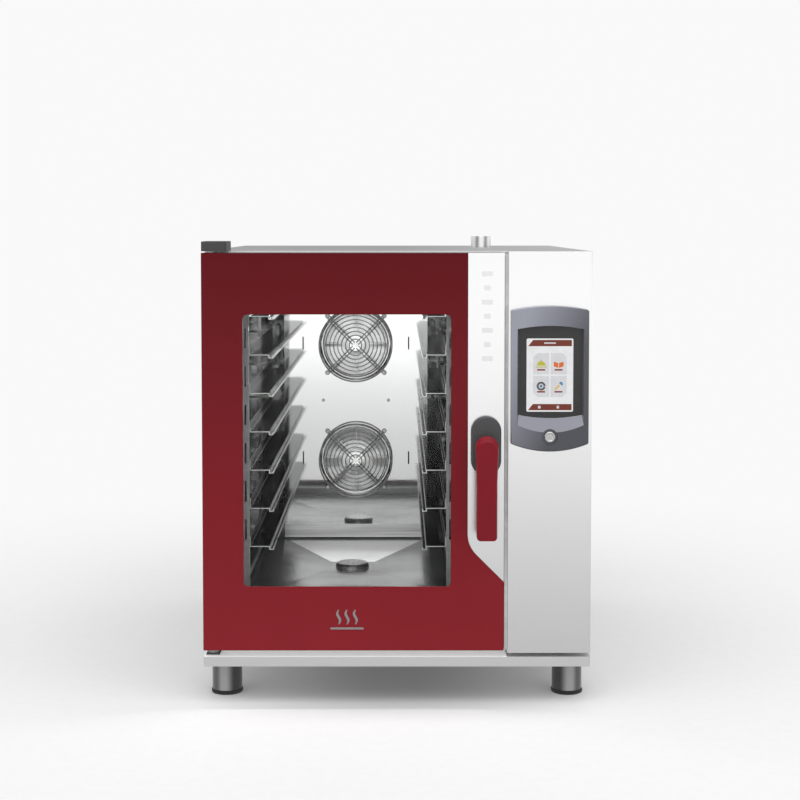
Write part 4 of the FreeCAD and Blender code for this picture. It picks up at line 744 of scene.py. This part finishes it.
def make_icons(left, right, low, high):
    """A cloche, an open book, a dial and a tool; each is drawn about the origin and set on its tile."""
    cloche = [arc((0, 0), 1, 0, 180, 12), [(-1.25, -0.22), (1.25, -0.22), (1.25, -0.42), (-1.25, -0.42)],
              disc((0, 1.12), 0.16, 10)]
    book = [[(-1.1, 0.55), (-0.08, 0.25), (-0.08, -0.85), (-1.1, -0.5)],
            [(1.1, 0.55), (0.08, 0.25), (0.08, -0.85), (1.1, -0.5)]]
    ring = [arc((0, 0), 1.0, 0, 350, 24) + arc((0, 0), 0.55, 350, 0, 24)]
    handle = [[(-0.95, -0.70), (-0.70, -0.95), (0.35, 0.10), (0.10, 0.35)]]
    icons = (
        ("icon_cloche", cloche, left, high - 3 * MM, (0.52, 0.50, 0.06, 1)),
        ("icon_book", book, right, high, (0.72, 0.16, 0.03, 1)),
        ("icon_ring", ring, left, low, grey(0.10)),
        ("icon_ring_centre", [disc((0, 0), 0.32, 14)], left, low, (0.06, 0.20, 0.36, 1)),
        ("icon_tool_handle", handle, right, low, (0.70, 0.46, 0.05, 1)),
        ("icon_tool_head", [arc((0.5, 0.5), 0.48, -60, 150, 12)], right, low, (0.10, 0.26, 0.46, 1)),
    )
    for name, parts, x, z, colour in icons:
        page_layer(name, [shifted(part, x, z, ICON_SIZE) for part in parts], 2, colour)


def make_screen_page():
    """The display's page: a white sheet, two bars, four tiles with icons, and small marks."""
    low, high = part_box("display_panel")
    left, right, bottom, top = low.x, high.x, low.z, high.z
    width, height = right - left, top - bottom
    middle_x, middle_z = (left + right) / 2, (bottom + top) / 2
    page_layer("screen_page", [round_rectangle(left, bottom, right, top, 3 * MM)], 0, PAGE_WHITE)
    bar = height * 0.085
    head_low, foot_low = top - BAR_INSET - bar, bottom + BAR_INSET
    page_layer("screen_bars", [slanted_bar(left, right, head_low, head_low + bar),
                               slanted_bar(left, right, foot_low, foot_low + bar)], 1, BAR_BROWN, 0.6)
    reach_x, reach_z = width * 0.36, height * 0.30
    page_layer("screen_tiles", menu_tiles(middle_x, middle_z, reach_x, reach_z), 1,
               grey(0.70, (0.99, 0.99, 1.02)))
    icon_x, icon_z = reach_x * 0.52, reach_z * 0.5
    make_icons(middle_x - icon_x, middle_x + icon_x, middle_z - icon_z, middle_z + icon_z)
    page_layer("screen_tags", tile_tags(middle_x, middle_z, icon_x, icon_z), 2, TAG_RED, 0.6)
    page_layer("screen_bar_marks", [
        round_rectangle(middle_x - 12 * MM, head_low + bar * 0.38, middle_x + 12 * MM,
                        head_low + bar * 0.62, 1.2 * MM),
        disc((left + 26 * MM, foot_low + bar / 2), 3.1 * MM, 16),
        round_rectangle(right - 33 * MM, foot_low + bar * 0.28, right - 28 * MM,
                        foot_low + bar * 0.72, 0.8 * MM),
    ], 2, grey(0.62))


# ---------------------------------------------------------------- gap filler


def make_gap_filler():
    """The grey sealing strip on the frame, seen in the gap between the door and the column."""
    door_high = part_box("door_outer_glass")[1]
    column_low, column_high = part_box("control_column_panel")
    left, right = door_high.x + 0.9 * MM, column_low.x - 0.2 * MM
    bottom, top = column_low.z + 6 * MM, column_high.z - 6 * MM
    outline = [(left, bottom), (right, bottom), (right, top), (left, top)]
    mesh = slab("gap_filler", [outline], column_low.y + 2.5 * MM, column_low.y + 60 * MM)
    new_piece("gap_filler", mesh, "oven", rubber("gap_filler_rubber", 0.62))


# ---------------------------------------------------------------- marks on the door


def steam_wave(x, low_z, high_z, width, swing):
    """The outline of one upright steam wave."""
    steps = 18
    left, right = [], []
    for step in range(steps + 1):
        share = step / steps
        middle = x + swing * math.sin(share * 2 * math.pi)
        half = width * (0.35 + 0.65 * math.sin(share * math.pi)) / 2
        z = low_z + (high_z - low_z) * share
        left.append((middle - half, z))
        right.append((middle + half, z))
    return left + right[::-1]


def make_badge():
    """Three steam waves over a tray line, in satin metal on the glass."""
    centre, base, tall, step = -101.5 * MM, 163 * MM, 30 * MM, 17 * MM
    tray_half, tray_low, tray_high = 34 * MM, base - 10.5 * MM, base - 6.5 * MM
    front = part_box("door_outer_glass")[0].y
    outlines = [steam_wave(centre + index * step, base, base + tall, 5.5 * MM, 2.8 * MM)
                for index in (-1, 0, 1)]
    outlines.append(round_rectangle(centre - tray_half, tray_low, centre + tray_half, tray_high, 1.8 * MM))
    mesh = slab("door_badge", outlines, front - 0.6 * MM, front + 0.4 * MM)
    material = brushed("badge_metal", grey(0.46), grey(0.38), 0.35, "x", 1500, edge=0.0002)
    new_piece("door_badge", mesh, "door", material)


def make_trim_mark():
    """A faint column of short printed bars on the steel plate beside the window, long and short in turn."""
    centre, base, pitch, count, tall = 182 * MM, 700 * MM, 28.5 * MM, 7, 10 * MM
    long_half, short_half = 11 * MM, 7 * MM
    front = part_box("door_trim_plate")[0].y
    outlines = []
    for index in range(count):
        low = base + index * pitch
        half = short_half if index % 2 else long_half
        outlines.append(round_rectangle(centre - half, low, centre + half, low + tall, 2 * MM))
    mesh = slab("trim_mark", outlines, front - 0.08 * MM, front + 0.3 * MM)
    material = brushed("mark_grey", grey(0.89), grey(0.87), 0.35, "x", 1500, edge=0.0001)
    new_piece("trim_mark", mesh, "door", material)


# ---------------------------------------------------------------- studio

BACKDROP = 0.947
FLOOR_RADIUS = 60
# Between these distances from the oven the floor fades into the backdrop.
FADE_START = 0.9
FADE_END = 2.3
# How dark the painted shadow under the oven is, and where it begins and ends across, in front and behind.
SHADE_DEPTH = 0.55
SHADE_ACROSS = (0.02, 0.46)
SHADE_FRONT = (-0.62, -0.34)
SHADE_BEHIND = (0.42, 0.66)
# The light that the floor throws up, near the oven and far from it, and those two distances.
FLOOR_BOUNCE = (0.50, 1.17)
FLOOR_BOUNCE_REACH = (0.8, 8.5)
# The studio's light from the front, from the back, and the extra from above: as mirrored, and as it falls.
MIRRORED_LIGHT = (1.17, 0.5, 0.1)
FALLING_LIGHT = (0.76, 1.06, 0.38)


def make_floor():
    """A pale floor that turns into the backdrop's own brightness away from the oven, with a painted shadow
    under and behind the oven.
    """
    s = Shader("floor_paper")
    mesh = bpy.data.meshes.new("floor")
    made = bmesh.new()
    bmesh.ops.create_circle(made, cap_ends=True, radius=FLOOR_RADIUS, segments=96)
    made.to_mesh(mesh)
    made.free()
    floor = bpy.data.objects.new("floor", mesh)
    bpy.context.scene.collection.objects.link(floor)
    flat = s.add("ShaderNodeVectorMath", {0: s.place}, operation="LENGTH").outputs["Value"]
    far = s.between(flat, FADE_START, FADE_END)
    grain = s.noise(40, detail=3)
    # Painted shadow: the floor darkens under and behind the oven.
    across = s.between(s.math("ABSOLUTE", s.axis("x")), *SHADE_ACROSS, 1, 0)
    along = s.math("MULTIPLY", s.between(s.axis("y"), *SHADE_FRONT),
                   s.between(s.axis("y"), *SHADE_BEHIND, 1, 0))
    painted_shadow = s.math("MULTIPLY", s.math("MULTIPLY", across, along), SHADE_DEPTH)
    colour = s.blend(s.between(grain, 0.3, 0.7), grey(0.93), grey(0.915))
    paper = s.add("ShaderNodeBsdfDiffuse", {
        "Color": s.blend(painted_shadow, colour, grey(0.0)), "Roughness": 0.6,
    })
    path = s.add("ShaderNodeLightPath").outputs["Is Camera Ray"]
    glow = s.add("ShaderNodeEmission", {"Color": grey(BACKDROP), "Strength": 1.0})
    seen = s.add("ShaderNodeMixShader", {0: far, 1: paper.outputs[0], 2: glow.outputs[0]})
    level = s.between(flat, *FLOOR_BOUNCE_REACH, *FLOOR_BOUNCE, smooth=False)
    bounce = s.add("ShaderNodeEmission", {"Color": grey(1.0), "Strength": level})
    s.finish(s.add("ShaderNodeMixShader", {0: path, 1: bounce.outputs[0], 2: seen.outputs[0]}))
    mesh.materials.append(s.material)


def make_world():
    """A white studio: the camera sees the backdrop, and surfaces see light that is strongest in front."""
    world = bpy.data.worlds.new("studio")
    world.use_nodes = True
    tree = world.node_tree
    tree.nodes.clear()

    def add(kind, **settings):
        """A new node of the world."""
        made = tree.nodes.new(kind)
        for key, value in settings.items():
            setattr(made, key, value)
        return made

    def backdrop(front, back, top):
        """Light that runs from front to back, with more from above."""
        depth = add("ShaderNodeMapRange")
        for key, value in (("From Min", -1), ("From Max", 1), ("To Min", front), ("To Max", back)):
            depth.inputs[key].default_value = value
        rise = add("ShaderNodeMapRange")
        for key, value in (("From Min", 0), ("From Max", 1), ("To Min", 0), ("To Max", top)):
            rise.inputs[key].default_value = value
        total = add("ShaderNodeMath", operation="ADD")
        tree.links.new(split.outputs["Y"], depth.inputs["Value"])
        tree.links.new(split.outputs["Z"], rise.inputs["Value"])
        tree.links.new(depth.outputs[0], total.inputs[0])
        tree.links.new(rise.outputs[0], total.inputs[1])
        light = add("ShaderNodeBackground")
        tree.links.new(total.outputs[0], light.inputs["Strength"])
        return light.outputs[0]

    def choose(ray, otherwise, chosen):
        """One light for rays of this kind and the other for the rest."""
        mixed = add("ShaderNodeMixShader")
        tree.links.new(path.outputs[ray], mixed.inputs[0])
        tree.links.new(otherwise, mixed.inputs[1])
        tree.links.new(chosen, mixed.inputs[2])
        return mixed.outputs[0]

    split = add("ShaderNodeSeparateXYZ")
    tree.links.new(add("ShaderNodeTexCoord").outputs["Generated"], split.inputs[0])
    path = add("ShaderNodeLightPath")
    seen = add("ShaderNodeBackground")
    seen.inputs["Color"].default_value = grey(BACKDROP)
    inner = choose("Is Glossy Ray", backdrop(*FALLING_LIGHT), backdrop(*MIRRORED_LIGHT))
    output = add("ShaderNodeOutputWorld")
    tree.links.new(choose("Is Camera Ray", inner, seen.outputs[0]), output.inputs["Surface"])
    bpy.context.scene.world = world


def area_light(name, place, target, size, watts, glossy=True):
    """A rectangular lamp that the camera doesn't see, aimed at target."""
    data = bpy.data.lights.new(name, "AREA")
    data.shape = "RECTANGLE"
    data.size, data.size_y = size
    data.energy = watts
    lamp = bpy.data.objects.new(name, data)
    lamp.location = place
    aim = Vector(target) - Vector(place)
    lamp.rotation_euler = aim.to_track_quat("-Z", "Y").to_euler()
    lamp.visible_camera = False
    lamp.visible_glossy = glossy
    bpy.context.scene.collection.objects.link(lamp)


def make_lights():
    """A softbox above the front, a strip under the cavity's ceiling and a faint lamp on each rotor."""
    area_light("softbox_top", (0.2, -1.2, 3.2), (0, 0, 0.5), (3.0, 2.4), 22)
    low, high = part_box("cavity_rear_wall")
    middle = (low + high) / 2
    area_light("cavity_lamp_top", (middle.x, -0.36, high.z - 30 * MM), (middle.x, 0.15, 0.35),
               (0.40, 0.03), 6, glossy=False)
    for name in ("fan_rotor_upper", "fan_rotor_lower"):
        low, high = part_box(name)
        hub = (low + high) / 2
        area_light(name + "_lamp", (hub.x, low.y - 22 * MM, hub.z), (hub.x, high.y, hub.z),
                   (0.10, 0.10), 0.022, glossy=False)


def set_look():
    """Plain colours, and enough bounces for four glass faces and the polished cavity."""
    view = bpy.context.scene.view_settings
    view.view_transform = "Standard"
    view.look = "None"
    paths = bpy.context.scene.cycles
    paths.transparent_max_bounces = 32
    paths.glossy_bounces = 10
    paths.max_bounces = 16


# ---------------------------------------------------------------- assembly

make_camera()
set_look()
make_world()
make_floor()
make_lights()
MATERIALS = make_materials()
dress_nodes(MATERIALS, special_materials())
make_door_glass(MATERIALS)
make_screen_page()
make_gap_filler()
make_badge()
make_trim_mark()
